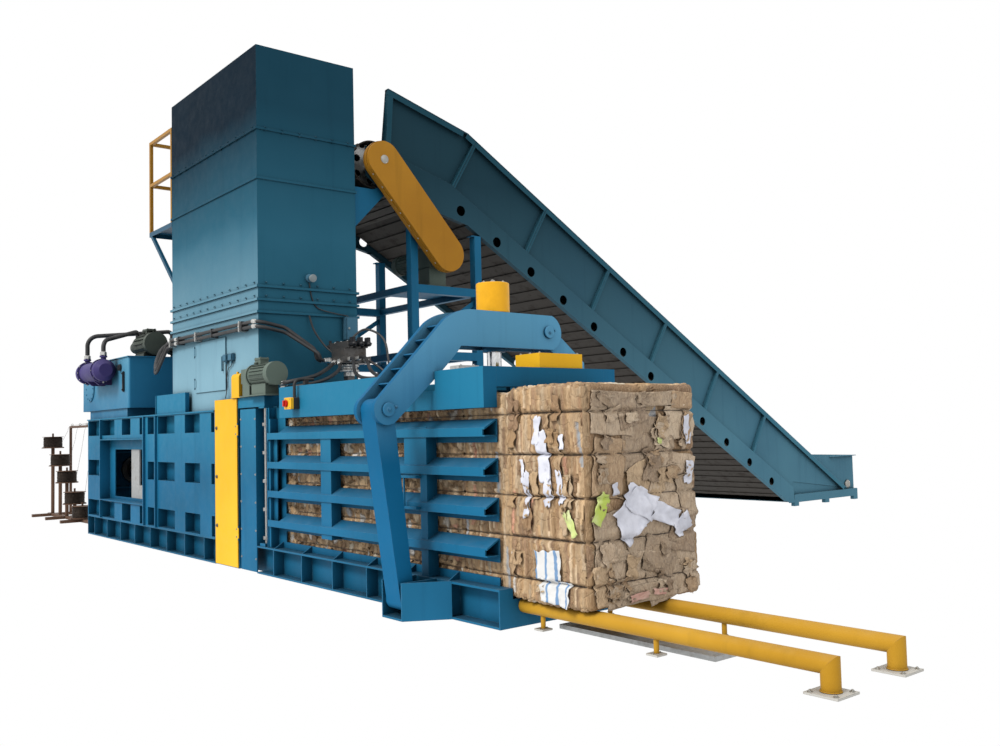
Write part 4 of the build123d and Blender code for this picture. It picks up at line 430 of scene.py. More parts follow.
def cardboard_material(name):
    """Pressed board: a tint for each layer or flap, flute lines, crushed creases, painted shade in hollows.
    """
    p = Paint(name)
    tint = p.node("ShaderNodeVertexColor", {}, layer_name="tint").outputs["Color"]
    mottled = p.noise(14, 6, 0.7)
    base = p.lay(tint, (0.3, 0.19, 0.1), p.band(mottled, 0.35, 0.75), 0.4)
    fibres = p.noise(60, 4, 0.7, p.stretch(5.0, 1.2, 0.35))
    base = p.lay(base, (0.62, 0.47, 0.3), p.band(fibres, 0.5, 0.72), 0.4)
    base = p.lay(base, (0.13, 0.075, 0.035), p.band(fibres, 0.48, 0.3), 0.5)
    # Painted shade: near-black brown in hollows.
    base = p.lay(base, (0.045, 0.022, 0.01), p.band(p.hollows(0.03), 0.7, 0.15), 0.75)
    crease = p.band(p.cell_edges(11, p.stretch(1, 1, 0.7)), 0, 0.05)
    height = p.add(p.add(p.times(fibres, 0.7), p.times(crease, 0.6)), p.times(mottled, 0.8))
    return p.finish(base, 0.85, 0.0, p.bump(height, 0.7, 0.012))


board = cardboard_material("cardboard")
brown_tints = (
    (0.42, 0.275, 0.145), (0.35, 0.22, 0.11), (0.5, 0.35, 0.2), (0.29, 0.175, 0.09),
    (0.39, 0.265, 0.15), (0.54, 0.41, 0.27), (0.27, 0.165, 0.095), (0.45, 0.31, 0.18),
)
odd_tints = (
    (0.68, 0.67, 0.64), (0.6, 0.57, 0.5), (0.5, 0.24, 0.16), (0.3, 0.34, 0.38), (0.66, 0.6, 0.48),
)
edge_round = 0.045
groove_half = 0.012
groove_depth = 0.012
most_lift = 0.012
skin_inset = 0.006
layer_pitch = 0.024
large_flap, small_flap, channel_lump = 0.34, 0.15, 0.062
end_face = 0.6
front_slant = 0.13
swell_start, swell_aside, swell_over = 4.5, 0.016, 0.032
swell_length = 0.09
tie_wire_r = 0.002


def chance(*values):
    """A repeatable number from 0 to 1 for a set of whole numbers."""
    total = 0.0
    for place, value in enumerate(values):
        total += value * (12.9898 + 65.13 * place)
    return (sin(total) * 43758.5453) % 1.0


def spread(low, high, count):
    """Evenly spaced values from low to high."""
    return [low + (high - low) * n / (count - 1) for n in range(count)]


def ripple(x, y, z):
    return noise.noise(Vector((x, y, z)))


def flake(y, z, size, seed):
    """Height, key and edge distance of the crushed flap at a place on a bale."""
    warp = ripple(y * 2.1, z * 2.1, seed) * 0.35 * size
    spot = Vector((y / size + warp * 2, z / (size * 1.3) - warp * 2, seed * 7.3))
    distance, points = noise.voronoi(spot, distance_metric="DISTANCE")
    cell = points[0]
    key = (floor(cell.x * 97), floor(cell.y * 89), seed)
    tilt_y = (chance(*key) - 0.5) * 0.3
    tilt_z = (chance(key[1], key[0], 3) - 0.5) * 0.24
    rise = (chance(key[0] + 5, key[1], 9) - 0.5) * 0.9
    height = rise * 0.045 + ((spot.x - cell.x) * tilt_y + (spot.y - cell.y) * tilt_z) * size
    return height, key, distance[1] - distance[0]


def front_height(y, z):
    """How far the flaps on a bale's end stand out, with the key of the flap on top."""
    height, key, _ = flake(y, z, large_flap, 1)
    small, small_key, _ = flake(y + 3.1, z, small_flap, 2)
    if small * 0.8 > height + 0.002:
        height, key = small * 0.8, small_key
    creases = abs(ripple(y * 9, z * 7, 4.0)) * 0.012 + abs(ripple(y * 24, z * 19, 8.0)) * 0.006
    return height * 0.75 - creases, key


def layer_height(x, other, seed):
    """Edges of the layers pressed along X, seen from the side."""
    bend = ripple(x * 1.3, other * 2.2, seed) * 0.05 + ripple(x * 5.0, other * 7.0, seed + 4) * 0.014
    layer = floor((x + bend) / layer_pitch)
    part = floor(other * 3.4 + chance(layer, seed) * 9)
    out = (chance(layer, 3, seed) - 0.5) * 0.024 + (chance(layer, part, seed) - 0.5) * 0.016
    out += ripple(layer * 1.7, other * 6.0, seed) * 0.012 + ripple(x * 30, other * 26, seed) * 0.007
    return out, (layer, part, seed)


def rounded_block(low, high, radius, step):
    """Grid over a box with round edges: list of (place, normal) and quads."""
    spots, quads, known = [], [], {}
    size = high - low
    count = [max(2, round(size[a] / step[a])) for a in range(3)]

    def corner(key):
        if key not in known:
            at = [low[a] + size[a] * key[a] / count[a] for a in range(3)]
            core = Vector([min(max(at[a], low[a] + radius), high[a] - radius) for a in range(3)])
            normal = (Vector(at) - core).normalized()
            known[key] = len(spots)
            spots.append((core + normal * radius, normal))
        return known[key]

    for axis in range(3):
        a, b = (axis + 1) % 3, (axis + 2) % 3
        for end in (0, count[axis]):
            for i in range(count[a]):
                for j in range(count[b]):
                    ring = []
                    for da, db in ((0, 0), (1, 0), (1, 1), (0, 1)):
                        index = [0, 0, 0]
                        index[axis] = end
                        index[a] = i + da
                        index[b] = j + db
                        ring.append(corner(tuple(index)))
                    if end == 0:
                        ring.reverse()
                    quads.append(ring)
    return spots, quads


def add_object(name, mesh, body, material):
    """A piece of the scene that rides on a CAD body."""
    piece = bpy.data.objects.new(name, mesh)
    bpy.context.scene.collection.objects.link(piece)
    mesh.materials.append(material)
    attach(piece, body)
    return piece


def tint_points(mesh, tints):
    layer = mesh.color_attributes.new("tint", "FLOAT_COLOR", "POINT")
    for index, tint in enumerate(tints):
        layer.data[index].color = (*tint, 1.0)


def pressed_bale(name, node, low, high, wires, step, front=True):
    """One bale: layer edges on its sides, crushed flaps on its end, wires bitten in.

    The front bale swells where it leaves the channel; the others fill the channel with smaller lumps.
    """
    spots, quads = rounded_block(low, high, edge_round, step)
    places, tints = [], []
    half = (high.y - low.y) / 2
    for at, normal in spots:
        loose = 0.0
        if front:
            loose = min(max((at.x - swell_start) / swell_length, 0.0), 1.0)
            loose = loose * loose * (3 - 2 * loose)
            held = 1 - loose
            at = Vector((at.x, at.y * (1 - held * swell_aside / half), at.z))
            at.z = low.z + (at.z - low.z) * (1 - held * swell_over / (high.z - low.z))
        wide = abs(normal.x)
        if wide > end_face and (front or normal.x < 0):
            lift, key = front_height(at.y + at.x * front_slant, at.z)
            shade = 0.55 + 0.36 * chance(key[1], key[0], 17)
        else:
            other = at.z if abs(normal.y) >= abs(normal.z) else at.y + 2.0
            lift, key = layer_height(at.x, other, 5 if normal.y < 0 else 6)
            shade = 0.7 + 0.6 * chance(key[1], key[0], 19)
            if not front and abs(normal.y) > 0.6:
                lump, key, edge = flake(at.x, at.z * 1.2, channel_lump, 12)
                lift = lift * 0.4 + lump * 0.9 - 0.01
                shade = 0.45 + 1.25 * chance(key[1], key[0], 23) * chance(key[0], 41)
                # Painted shade: the tint darkens near the edges of each lump, between the lumps.
                shade *= 0.55 + 0.45 * min(1.0, edge * 5)
                shade += 0.12
        tint = brown_tints[int(chance(*key) * 7.99)]
        if chance(key[0], key[1], 31) > (0.985 if wide > end_face else 0.95 if front else 0.84):
            tint = odd_tints[int(chance(key[1], 5, key[0]) * 4.99)]
        for z in wires:
            off = (at.z - z) / groove_half
            if abs(off) < 3 and abs(normal.z) < 0.7:
                bite = groove_depth + (loose * swell_aside if front and wide < 0.7 else 0.0)
                lift = lift * (1 - exp(-off * off)) - bite * exp(-off * off)
        places.append(at + normal * (min(lift, most_lift) - skin_inset))
        tints.append([part * shade for part in tint])
    mesh = bpy.data.meshes.new(name)
    mesh.from_pydata(places, [], quads)
    tint_points(mesh, tints)
    mesh.update()
    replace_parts(add_object(name, mesh, "frame", board), node)


bale_low, bale_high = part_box("front_bale")
wire_low, wire_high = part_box("bale_wires")
wire_levels = spread(wire_low.z + tie_wire_r, wire_high.z - tie_wire_r, 5)
pressed_bale("front_bale_skin", "front_bale", bale_low, bale_high, wire_levels, (0.0125, 0.0095, 0.0092))
rear_low, rear_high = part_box("channel_bales")
pitch = bale_high.x - rear_high.x
length = bale_high.x - bale_low.x
rear_ends = [rear_high.x - n * pitch for n in range(3)]
rear_starts = [rear_ends[0] - length, rear_ends[1] - length, rear_low.x]
for number, (start, end) in enumerate(zip(rear_starts, rear_ends), 1):
    pressed_bale(
        f"channel_bale_skin_{number}", "channel_bales",
        Vector((start, rear_low.y, rear_low.z)), Vector((end, rear_high.y, rear_high.z)),
        wire_levels, (0.0115, 0.035, 0.0115), False,
    )


# Small shapes gathered in meshes

def circle(middle, axis, radius, count, start=0.0):
    """Places round a middle, across a machine axis; the last repeats the first."""
    a, b = [n for n in range(3) if abs(axis[n]) < 0.5]
    spots = []
    for n in range(count + 1):
        turn = 2 * pi * n / count + start
        spot = list(middle)
        spot[a] += radius * cos(turn)
        spot[b] += radius * sin(turn)
        spots.append(Vector(spot))
    return spots


def hoop(middle, u, v, radius, sides, spin=0.0):
    turns = [spin + 2 * pi * n / sides for n in range(sides)]
    return [middle + (u * cos(turn) + v * sin(turn)) * radius for turn in turns]


class Kit:
    """Turned parts, tubes, bolts and slabs that share one mesh."""

    def __init__(self):
        self.mesh = bmesh.new()
        self.tints = []

    def skin(self, rings):
        rows = [[self.mesh.verts.new(spot) for spot in ring] for ring in rings]
        count = len(rows[0])
        for row, after in zip(rows, rows[1:]):
            for n in range(count):
                m = (n + 1) % count
                self.mesh.faces.new((row[n], row[m], after[m], after[n]))
        self.mesh.faces.new(rows[0][::-1])
        self.mesh.faces.new(rows[-1])

    def turned(self, at, axis, outline, sides=16, spin=0.0):
        """A turned shape; the outline gives distances along the axis with radii."""
        axis = Vector(axis).normalized()
        first = upward if abs(axis.z) < 0.9 else ahead
        u = (first - axis * first.dot(axis)).normalized()
        v = axis.cross(u)
        rings = []
        for along, radius in outline:
            rings.append(hoop(Vector(at) + axis * along, u, v, radius, sides, spin))
        self.skin(rings)

    def bolt(self, at, axis, size, spin=0.0):
        """A washer and a chamfered hexagon head with a short thread end."""
        axis = Vector(axis).normalized()
        self.turned(at, axis, ((0, 1.5 * size), (0.22 * size, 1.5 * size), (0.28 * size, 1.4 * size)), 12)
        head = Vector(at) + axis * 0.24 * size
        self.turned(head, axis, ((0, size), (0.55 * size, size), (0.72 * size, 0.82 * size)), 6, spin)
        tip = Vector(at) + axis * 0.9 * size
        self.turned(tip, axis, ((0, 0.5 * size), (0.35 * size, 0.5 * size), (0.42 * size, 0.4 * size)), 7)

    def bolt_circle(self, middle, axis, radius, count, size, start=0.0):
        for n, spot in enumerate(circle(middle, axis, radius, count, start)[:-1]):
            self.bolt(spot, axis, size, n)

    def tube(self, path, radius, sides=10):
        """A round tube along a path."""
        u = (path[1] - path[0]).normalized().orthogonal().normalized()
        rings = []
        for n, spot in enumerate(path):
            run = (path[min(n + 1, len(path) - 1)] - path[max(n - 1, 0)]).normalized()
            u = (u - run * u.dot(run)).normalized()
            rings.append(hoop(spot, u, run.cross(u), radius, sides))
        self.skin(rings)

    def slab(self, low, high, soft):
        """A block with softened edges."""
        low, high = Vector(low), Vector(high)
        place = Matrix.Translation((low + high) / 2) @ Matrix.Diagonal((*(high - low), 1))
        corners = bmesh.ops.create_cube(self.mesh, size=1.0, matrix=place)["verts"]
        edges = list(dict.fromkeys(edge for corner in corners for edge in corner.link_edges))
        bmesh.ops.bevel(self.mesh, geom=edges, offset=soft, segments=2, affect="EDGES", clamp_overlap=True)

    def make(self, name, material, body="frame", sharp=38):
        """Make a piece, with edges above the sharp angle left crisp."""
        bmesh.ops.recalc_face_normals(self.mesh, faces=self.mesh.faces)
        mesh = bpy.data.meshes.new(name)
        self.mesh.to_mesh(mesh)
        self.mesh.free()
        mesh.shade_smooth()
        mesh.set_sharp_from_angle(angle=radians(sharp))
        return add_object(name, mesh, body, material)


def smooth_path(points, steps=8):
    """Places along a curve that passes through the given points."""
    spots = [Vector(point) for point in points]
    spots = [spots[0] * 2 - spots[1], *spots, spots[-1] * 2 - spots[-2]]
    path = []
    for a, b, c, d in zip(spots, spots[1:], spots[2:], spots[3:]):
        for n in range(steps):
            t = n / steps
            curve = b * 2 + (c - a) * t + (a * 2 - b * 5 + c * 4 - d) * t * t
            path.append((curve + (b * 3 - a - c * 3 + d) * t ** 3) * 0.5)
    path.append(spots[-2])
    return path


# Tower: flange bolts, sensor boxes and their leads, lamp, junction panel, hose clips

tower = Kit()
ring_levels, ring_gap, ring_bolt = (2.82, 2.96, 4.61), 0.026, 0.0085
for level in ring_levels:
    for head, way in ((level, -upward), (level + ring_gap, upward)):
        for n, x in enumerate(spread(-1.8, 0.49, 12)):
            tower.bolt((x, -0.601, head), way, ring_bolt, 0.7 * n)
            if level != ring_levels[-1]:
                tower.bolt((x, 0.601, head), way, ring_bolt, 0.5 * n)
        for n, y in enumerate(spread(-0.5, 0.5, 6)):
            tower.bolt((0.575, y, head), way, ring_bolt, 0.9 * n)
            tower.bolt((-1.886, y, head), way, ring_bolt, 0.4 * n)
tower.make("tower_flange_bolts", tower_blue)

boxes = Kit()
for x in (-0.205, -0.06):
    boxes.slab((x - 0.052, -0.632, 2.205), (x + 0.052, -0.5905, 2.285), 0.006)
    boxes.slab((x - 0.046, -0.64, 2.212), (x + 0.046, -0.632, 2.278), 0.003)
    gland = ((0, 0.012), (0.018, 0.012), (0.022, 0.009), (0.03, 0.008))
    boxes.turned((x, -0.612, 2.206), -upward, gland, 12)
boxes.slab((0.565, 0.405, 2.41), (0.64, 0.56, 2.67), 0.008)
boxes.slab((0.64, 0.415, 2.42), (0.648, 0.55, 2.66), 0.003)
boxes.turned((0.565, 0.0, 3.07), ahead, ((0, 0.045), (0.02, 0.045), (0.03, 0.03), (0.05, 0.03)), 20)
boxes.make("tower_boxes", box_blue)
lamp = Kit()
glass = ((0, 0.02), (0.015, 0.034), (0.04, 0.042), (0.05, 0.042), (0.054, 0.034))
lamp.turned((0.615, 0.0, 3.07), (1, 0, -0.25), glass, 24)
lamp.turned((0.648, 0.44, 2.54), ahead, ((0, 0.012), (0.008, 0.012), (0.011, 0.009)), 14)
lamp.make("lamp", pale_plastic)

leads = Kit()
lead_runs = (
    (0.005, 7, (-0.205, -0.612, 2.178), (-0.215, -0.606, 2.05), (-0.195, -0.607, 1.93), (-0.17, -0.64, 1.8)),
    (0.004, 7, (-0.06, -0.612, 2.178), (-0.1, -0.604, 2.15), (-0.17, -0.606, 2.12), (-0.207, -0.61, 2.0)),
    (0.006, 8, (0.57, 0.0, 3.02), (0.572, 0.03, 2.86), (0.575, 0.1, 2.75), (0.6, 0.3, 2.7),
     (0.61, 0.44, 2.68), (0.61, 0.45, 2.66)),
    (0.007, 8, (0.6, 0.48, 2.41), (0.62, 0.48, 2.3), (0.7, 0.4, 2.22), (0.8, 0.32, 2.24)),
    (0.008, 8, (0.6, 0.53, 2.41), (0.6, 0.56, 2.2), (0.62, 0.55, 1.95), (0.66, 0.5, 1.7)),
)
for radius, sides, *points in lead_runs:
    leads.tube(smooth_path(points), radius, sides)
leads.make("tower_leads", hose_black)

clips = Kit()
collar = ((0, 0.02), (0.004, 0.0245), (0.03, 0.0245), (0.036, 0.021), (0.055, 0.021), (0.058, 0.0195))
for x in (-1.76, -0.95, 0.26):
    clips.slab((x - 0.011, -0.676, 2.486), (x + 0.011, -0.5905, 2.601), 0.005)
    clips.bolt((x, -0.676, 2.544), near, 0.007)
for n, z in enumerate((2.57, 2.518)):
    for x in (0.555 + 0.004 * n, -1.62):
        clips.turned((x, -0.646, z), ahead, collar, 16)
clips.make("hose_clips", bright_steel)


# Hoses to the valves and the clamp, with their crimped ends

hoses = Kit()
for drop in (0.0, 0.052):
    hoses.tube(smooth_path([
        (-2.15, -0.646, 2.35 - drop), (-2.27, -0.64, 2.28 - drop), (-2.46, -0.6, 2.27 - drop),
        (-2.72, -0.5, 2.38 - drop), (-3.0, -0.34, 2.56 - drop), (-3.3, -0.14 + drop, 2.68 - drop),
        (-3.7, -0.02 + drop, 2.72 - drop), (-4.02, 0.02 - drop, 2.66 - drop),
    ]), 0.019, 12)
runs = (
    (0.02, (1.06, -0.6, 1.9), (1.18, -0.52, 1.92), (1.22, -0.3, 1.97), (1.1, -0.08, 2.06),
     (0.98, 0.07, 2.14)),
    (0.018, (1.02, -0.56, 1.86), (1.22, -0.46, 1.87), (1.28, -0.22, 1.93), (1.18, 0.0, 2.04),
     (1.04, 0.09, 2.15)),
    (0.017, (1.12, 0.16, 2.16), (1.3, 0.1, 2.14), (1.62, -0.06, 1.98), (2.1, -0.2, 1.9),
     (2.72, -0.18, 1.9), (3.06, -0.04, 1.9), (3.2, 0.0, 1.9)),
    (0.017, (1.12, 0.25, 2.17), (1.34, 0.22, 2.16), (1.7, 0.08, 1.99), (2.2, -0.06, 1.9),
     (2.74, -0.06, 1.9), (3.04, 0.06, 1.9), (3.2, 0.08, 1.9)),
    (0.013, (1.12, 0.34, 2.16), (1.3, 0.36, 2.1), (1.5, 0.42, 1.96), (1.58, 0.46, 1.87)),
    (0.01, (0.8, 0.16, 2.24), (0.7, 0.1, 2.34), (0.63, 0.02, 2.5), (0.6, -0.02, 2.66)),
    (0.012, (0.8, 0.34, 2.3), (0.74, 0.42, 2.42), (0.8, 0.56, 2.52), (1.0, 0.66, 2.4),
     (1.16, 0.62, 2.1), (1.2, 0.6, 1.86)),
    (0.011, (-3.46, 0.25, 2.86), (-3.3, 0.27, 2.9), (-3.16, 0.28, 2.75), (-3.1, 0.26, 2.45),
     (-3.06, 0.24, 1.75)),
)
for radius, *points in runs:
    hoses.tube(smooth_path(points), radius, 12)
hoses.make("loose_hoses", hose_black)

ends = Kit()
crimp = ((0, 0.02), (0.006, 0.026), (0.05, 0.026), (0.056, 0.022), (0.075, 0.022), (0.08, 0.017))
for _, *points in runs[:5]:
    for start, after in ((points[0], points[1]), (points[-1], points[-2])):
        ends.turned(start, Vector(after) - Vector(start), crimp, 6)
for x in (0.85, 0.93):
    nut = ((0, 0.03), (0.02, 0.03), (0.024, 0.026), (0.07, 0.026), (0.075, 0.021))
    ends.turned((x, 0.045, 2.155), near, nut, 6)
cooler_y, cooler_pipes, pipe_r = -0.845, (-4.53, -3.79), 0.034
for x in cooler_pipes:
    flange = ((0, pipe_r), (0.012, pipe_r + 0.012), (0.05, pipe_r + 0.012), (0.06, pipe_r))
    ends.turned((x, cooler_y, 2.53), upward, flange, 8)
roof_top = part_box("channel_roof")[1].z
ends.slab((3.2, -0.07, roof_top - 0.002), (3.34, 0.15, 1.945), 0.005)
for y in (-0.03, 0.11):
    ends.bolt((3.31, y, 1.945), upward, 0.009, y * 20)
ends.make("hose_ends", bright_steel)


# Valve manifold: coils on the slices, plugs, a stack of steel flanges under it

slices = [0.16 + 0.09 * n for n in range(3)]
stack_x, stack_y = 0.959, 0.25
coils = Kit()
coil = ((0, 0.022), (0.01, 0.027), (0.075, 0.027), (0.08, 0.02), (0.11, 0.011))
for y in slices:
    for x, way in ((0.764, -1), (1.154, 1)):
        coils.turned((x, y, 2.315), ahead * way, coil, 18)
        low, high = x + way * 0.02 - 0.018, x + way * 0.055 + 0.018
        coils.slab((low, y - 0.018, 2.335), (high, y + 0.018, 2.385), 0.004)
coils.make("valve_coils", black_plastic)
stack = Kit()
for z, r in ((2.035, 0.105), (2.065, 0.085), (2.09, 0.105)):
    disc = ((0, r - 0.004), (0.004, r), (0.021, r), (0.025, r - 0.004))
    stack.turned((stack_x, stack_y, z), upward, disc, 32)
stack.turned((stack_x, stack_y, 1.99), upward, ((0, 0.06), (0.1, 0.06), (0.104, 0.055)), 28)
stack.bolt_circle((stack_x, stack_y, 2.115), upward, 0.09, 8, 0.009)
for n, y in enumerate(slices):
    for x in (0.83, stack_x, 1.09):
        stack.bolt((x, y, 2.35), upward, 0.008, n + x)
stack.make("valve_stack", bright_steel)


# Pumps, tank and cooler: fan grilles, terminal boxes, cleaning cover, level gauge, bolts

def grille(rim, slots, hub):
    """Outline of a fan cowl with ring slots."""
    outline = [(0, rim), (0.01, rim)]
    for r in slots:
        outline += [(0.01, r + 0.004), (0.004, r + 0.002), (0.004, r - 0.002), (0.01, r - 0.004)]
    return outline + [(0.012, hub)]


pump_z, terminal_top = 2.694, 2.915
gear, fans = Kit(), Kit()
for y in (-0.25, 0.25):
    fans.turned((-3.472, y, pump_z), ahead, grille(0.112, (0.088, 0.072, 0.056, 0.04), 0.015), 32)
    gear.slab((-3.8, y - 0.066, 2.88), (-3.6, y + 0.066, terminal_top), 0.006)
    for x in (-3.785, -3.615):
        for side in (-0.05, 0.05):
            gear.bolt((x, y + side, terminal_top), upward, 0.006, side * 30)
    gland = ((0, 0.014), (0.02, 0.014), (0.024, 0.01), (0.035, 0.009))
    gear.turned((-3.7, y - 0.066, 2.86), near, gland, 10)
    gear.turned((-3.52, y, 2.862), upward, ((0, 0.01), (0.02, 0.01), (0.022, 0.02), (0.034, 0.02)), 12)
    gear.bolt_circle((-3.972, y, pump_z), -ahead, 0.128, 6, 0.009, 0.3)
gear.make("pump_details", pump_paint)

tank = Kit()
cover_x, cover_z = -4.98, 2.13
tank.turned((cover_x, -0.672, cover_z), near, ((0, 0.19), (0.012, 0.19), (0.016, 0.186)), 40)
tank.bolt_circle((cover_x, -0.688, cover_z), near, 0.165, 12, 0.009)
tank.turned((-5.02, 0.35, 2.58), upward, ((0, 0.066), (0.012, 0.07), (0.05, 0.07), (0.062, 0.055)), 28)
tank.make("tank_cover", tank_blue)
gauge = Kit()
gauge.slab((-3.475, -0.7, 2.02), (-3.435, -0.673, 2.3), 0.008)
dial = ((0, 0.045), (0.03, 0.045), (0.034, 0.038), (0.036, 0.038))
gauge.turned((-3.6, -0.673, 2.36), near, dial, 28)
for z in (2.05, 2.27):
    gauge.turned((-3.455, -0.7, z), near, ((0, 0.011), (0.008, 0.011), (0.012, 0.006)), 10)
gauge.make("tank_gauges", black_plastic)
cooler = Kit()
for x, way in ((-4.488, -1), (-4.461, 1), (-3.859, -1), (-3.832, 1)):
    cooler.bolt_circle((x, cooler_y, 2.33), ahead * way, 0.153, 10, 0.006)
for x in cooler_pipes:
    cooler.bolt_circle((x, cooler_y, 2.53), upward, 0.043, 6, 0.005)
    cooler.turned((x, cooler_y, 2.18), -upward, ((0, 0.013), (0.02, 0.013), (0.024, 0.009)), 6)
cooler.make("cooler_bolts", bolt_steel)


# Tying unit: motor cowl, terminal lid, door locks and hinges, bolts of its covers

motor_y, motor_z = -0.645, 2.003
cowl = grille(0.104, (0.086, 0.071, 0.056, 0.041, 0.026), 0.012)
fans.turned((1.052, motor_y, motor_z), ahead, cowl, 36)
fans.make("fan_covers", pump_paint)
tying = Kit()
tying.slab((0.684, -0.695, 2.15), (0.826, -0.595, 2.176), 0.005)
for x in (0.695, 0.815):
    for y in (-0.683, -0.607):
        tying.bolt((x, y, 2.176), upward, 0.005, x * 9)
gland = ((0, 0.013), (0.02, 0.013), (0.024, 0.01), (0.035, 0.009))
tying.turned((0.755, -0.692, 2.12), near, gland, 10)
tying.bolt_circle((0.628, motor_y, motor_z), ahead, 0.104, 8, 0.006, 0.2)
tying.make("tying_motor_details", motor_paint)
side_face = -0.672
locks = Kit()
for z in (0.42, 0.95, 1.48):
    lock = ((0, 0.02), (0.006, 0.02), (0.009, 0.017), (0.01, 0.009), (0.016, 0.008))
    locks.turned((-0.335, side_face, z), near, lock, 20)
locks.make("door_locks", dark_steel, "tying_door")
pins = Kit()
for n, z in enumerate((0.33, 0.41, 1.41, 1.49)):
    pins.bolt((0.165, side_face, z), near, 0.007, n)
pins.make("door_hinge_bolts", bolt_steel, "tying_door")
fixings = Kit()
for x in (0.1, 0.31):
    for y in (-0.68, -0.61):
        fixings.bolt((x, y, 1.798), upward, 0.007, x * 20)
for n, z in enumerate(spread(0.14, 1.56, 6)):
    for x in (0.3, 0.641):
        fixings.bolt((x, side_face, z), near, 0.008, n)
for x in (1.5, 1.6):
    for z in (1.645, 1.725):
        fixings.turned((x, -0.762, z), near, ((0, 0.006), (0.003, 0.006), (0.004, 0.004)), 10)
for n, x in enumerate(spread(4.15, 4.37, 3)):
    for y in (-0.075, 0.32):
        fixings.bolt((x, y, 1.967), upward, 0.009, n)
fixings.make("cover_bolts", bolt_steel)


# Clamp: pin caps, locking bolts and grease nipple

clamp_x = 3.668
lever_cap, foot_cap = 0.1575, 0.137


def pin_cap(kit, at, way, r):
    """The dished end of a pin, with its bolt."""
    outline = ((0, r), (0.01, r), (0.014, r - 0.004), (0.014, 0.4 * r), (0.011, 0.36 * r))
    kit.turned(at, ahead * way, outline, 36)
    kit.bolt((at[0] + way * 0.012, at[1], at[2]), ahead * way, 0.014, 0.3)


for name, body, y, z, reach in (
    ("near_top", "near_arm", -1.09, 1.56, lever_cap), ("far_top", "far_arm", 0.52, 2.202, lever_cap),
    ("near_base", "frame", -0.905, 0.13, foot_cap), ("far_base", "frame", 0.905, 0.13, foot_cap),
):
    caps = Kit()
    for way in (-1, 1):
        pin_cap(caps, (clamp_x + way * reach, y, z), way, 0.052)
        caps.bolt((clamp_x + way * (reach - 0.01), y + 0.075, z + 0.02), ahead * way, 0.01, 1.1)
    caps.make(f"pin_caps_{name}", clamp_blue, body)
cap = Kit()
cap_top = (clamp_x, 0.047, 2.6)
cap.bolt_circle(cap_top, upward, 0.112, 8, 0.011, 0.2)
cap.turned(cap_top, upward, ((0, 0.03), (0.012, 0.03), (0.016, 0.024), (0.03, 0.012), (0.035, 0.008)), 16)
cap.make("tension_cap_bolts", bolt_steel, "cross_lever")


# Run-out rails: foot bolts and weld beads round the end posts

rail_y, post_x = (-0.45, 0.21), 6.9775
rails, beads = Kit(), Kit()
for y in rail_y:
    for dx in (-0.075, 0.075):
        for dy in (-0.075, 0.075):
            rails.bolt((post_x + dx, y + dy, 0.012), upward, 0.01, dx * 40)
    for x in (4.758, 5.794):
        for dy in (-0.033, 0.033):
            rails.bolt((x, y + dy, 0.012), upward, 0.006, dy * 60)
    beads.tube(circle((post_x, y, 0.016), upward, 0.0535, 40), 0.005, 6)
rails.make("rail_foot_bolts", bolt_steel)
beads.make("rail_welds", rail_paint)


# Conveyor: ribs and edge bands of both skirts, skirt bolts, bearings, tail take-up, guard bolts

def across(flip, low, high):
    """A span of x on the front skirt, or the same span on the rear one."""
    middle = -0.657
    return sorted((middle + flip * (low - middle), middle + flip * (high - middle)))


def edge_band(kit, start, end, half, x_span):
    """A flat bar between two (y, z) places on a skirt of the conveyor."""
    way = Vector((end[0] - start[0], end[1] - start[1])).normalized()
    side = Vector((-way.y, way.x)) * half
    corners = [Vector(start) - side, Vector(end) - side, Vector(end) + side, Vector(start) + side]
    kit.skin([[Vector((x, at.x, at.y)) for at in corners] for x in x_span])


skirt_frames = Kit()
skirt_top = [Vector(spot) for spot in ((1.095, 5.4112), (2.2565, 5.0832), (10.4797, 0.22))]
first_rib, rib_step, rib_rise = Vector((2.0151, 4.3662)), Vector((1.1663, -0.6897)), Vector((0.3686, 0.6232))
for flip in (1, -1):
    for start, end in zip(skirt_top, skirt_top[1:]):
        way = (end - start).normalized()
        inward = Vector((way.y, -way.x)) * 0.04
        edge_band(skirt_frames, start + inward, end + inward - way * 0.06, 0.036, across(flip, 0.497, 0.5055))
    for n in range(6):
        foot = first_rib + rib_step * n
        edge_band(skirt_frames, foot, foot + rib_rise, 0.026, across(flip, 0.447, 0.5025))
    edge_band(skirt_frames, (1.082, 4.7), (1.132, 5.385), 0.034, across(flip, 0.447, 0.5045))
skirt_frames.make("skirt_frames", frame_blue)

feed = Kit()
slope = radians(30.6)
run, out = Vector((0, cos(slope), -sin(slope))), Vector((0, sin(slope), cos(slope)))
knee = Vector((0.506, 2.0, 4.4805))
for n in range(34):
    spot = knee + run * (0.12 + 0.225 * n) - out * 0.098
    feed.bolt((0.478, spot.y, spot.z), -out, 0.009, n)
head_y, head_z, tail_y, tail_z = 0.92, 4.5, 10.6, 0.27
head_bearing = ((0, 0.098), (0.014, 0.096), (0.03, 0.07), (0.034, 0.055))
tail_bearing = ((0, 0.075), (0.012, 0.075), (0.02, 0.06), (0.028, 0.034))
for x, y, z, way, bearing, sides, deep, radius, size in (
    (0.521, head_y, head_z, 1, head_bearing, 36, 0.013, 0.082, 0.01),
    (-1.835, head_y, head_z, -1, head_bearing, 36, 0.013, 0.082, 0.01),
    (0.446, tail_y, tail_z, 1, tail_bearing, 32, 0.012, 0.064, 0.007),
    (-1.76, tail_y, tail_z, -1, tail_bearing, 32, 0.012, 0.064, 0.007),
):
    feed.turned((x, y, z), ahead * way, bearing, sides)
    feed.bolt_circle((x + way * deep, y, z), ahead * way, radius, 4, size, pi / 4)
feed.make("conveyor_bolts", bolt_steel)
guard = Kit()
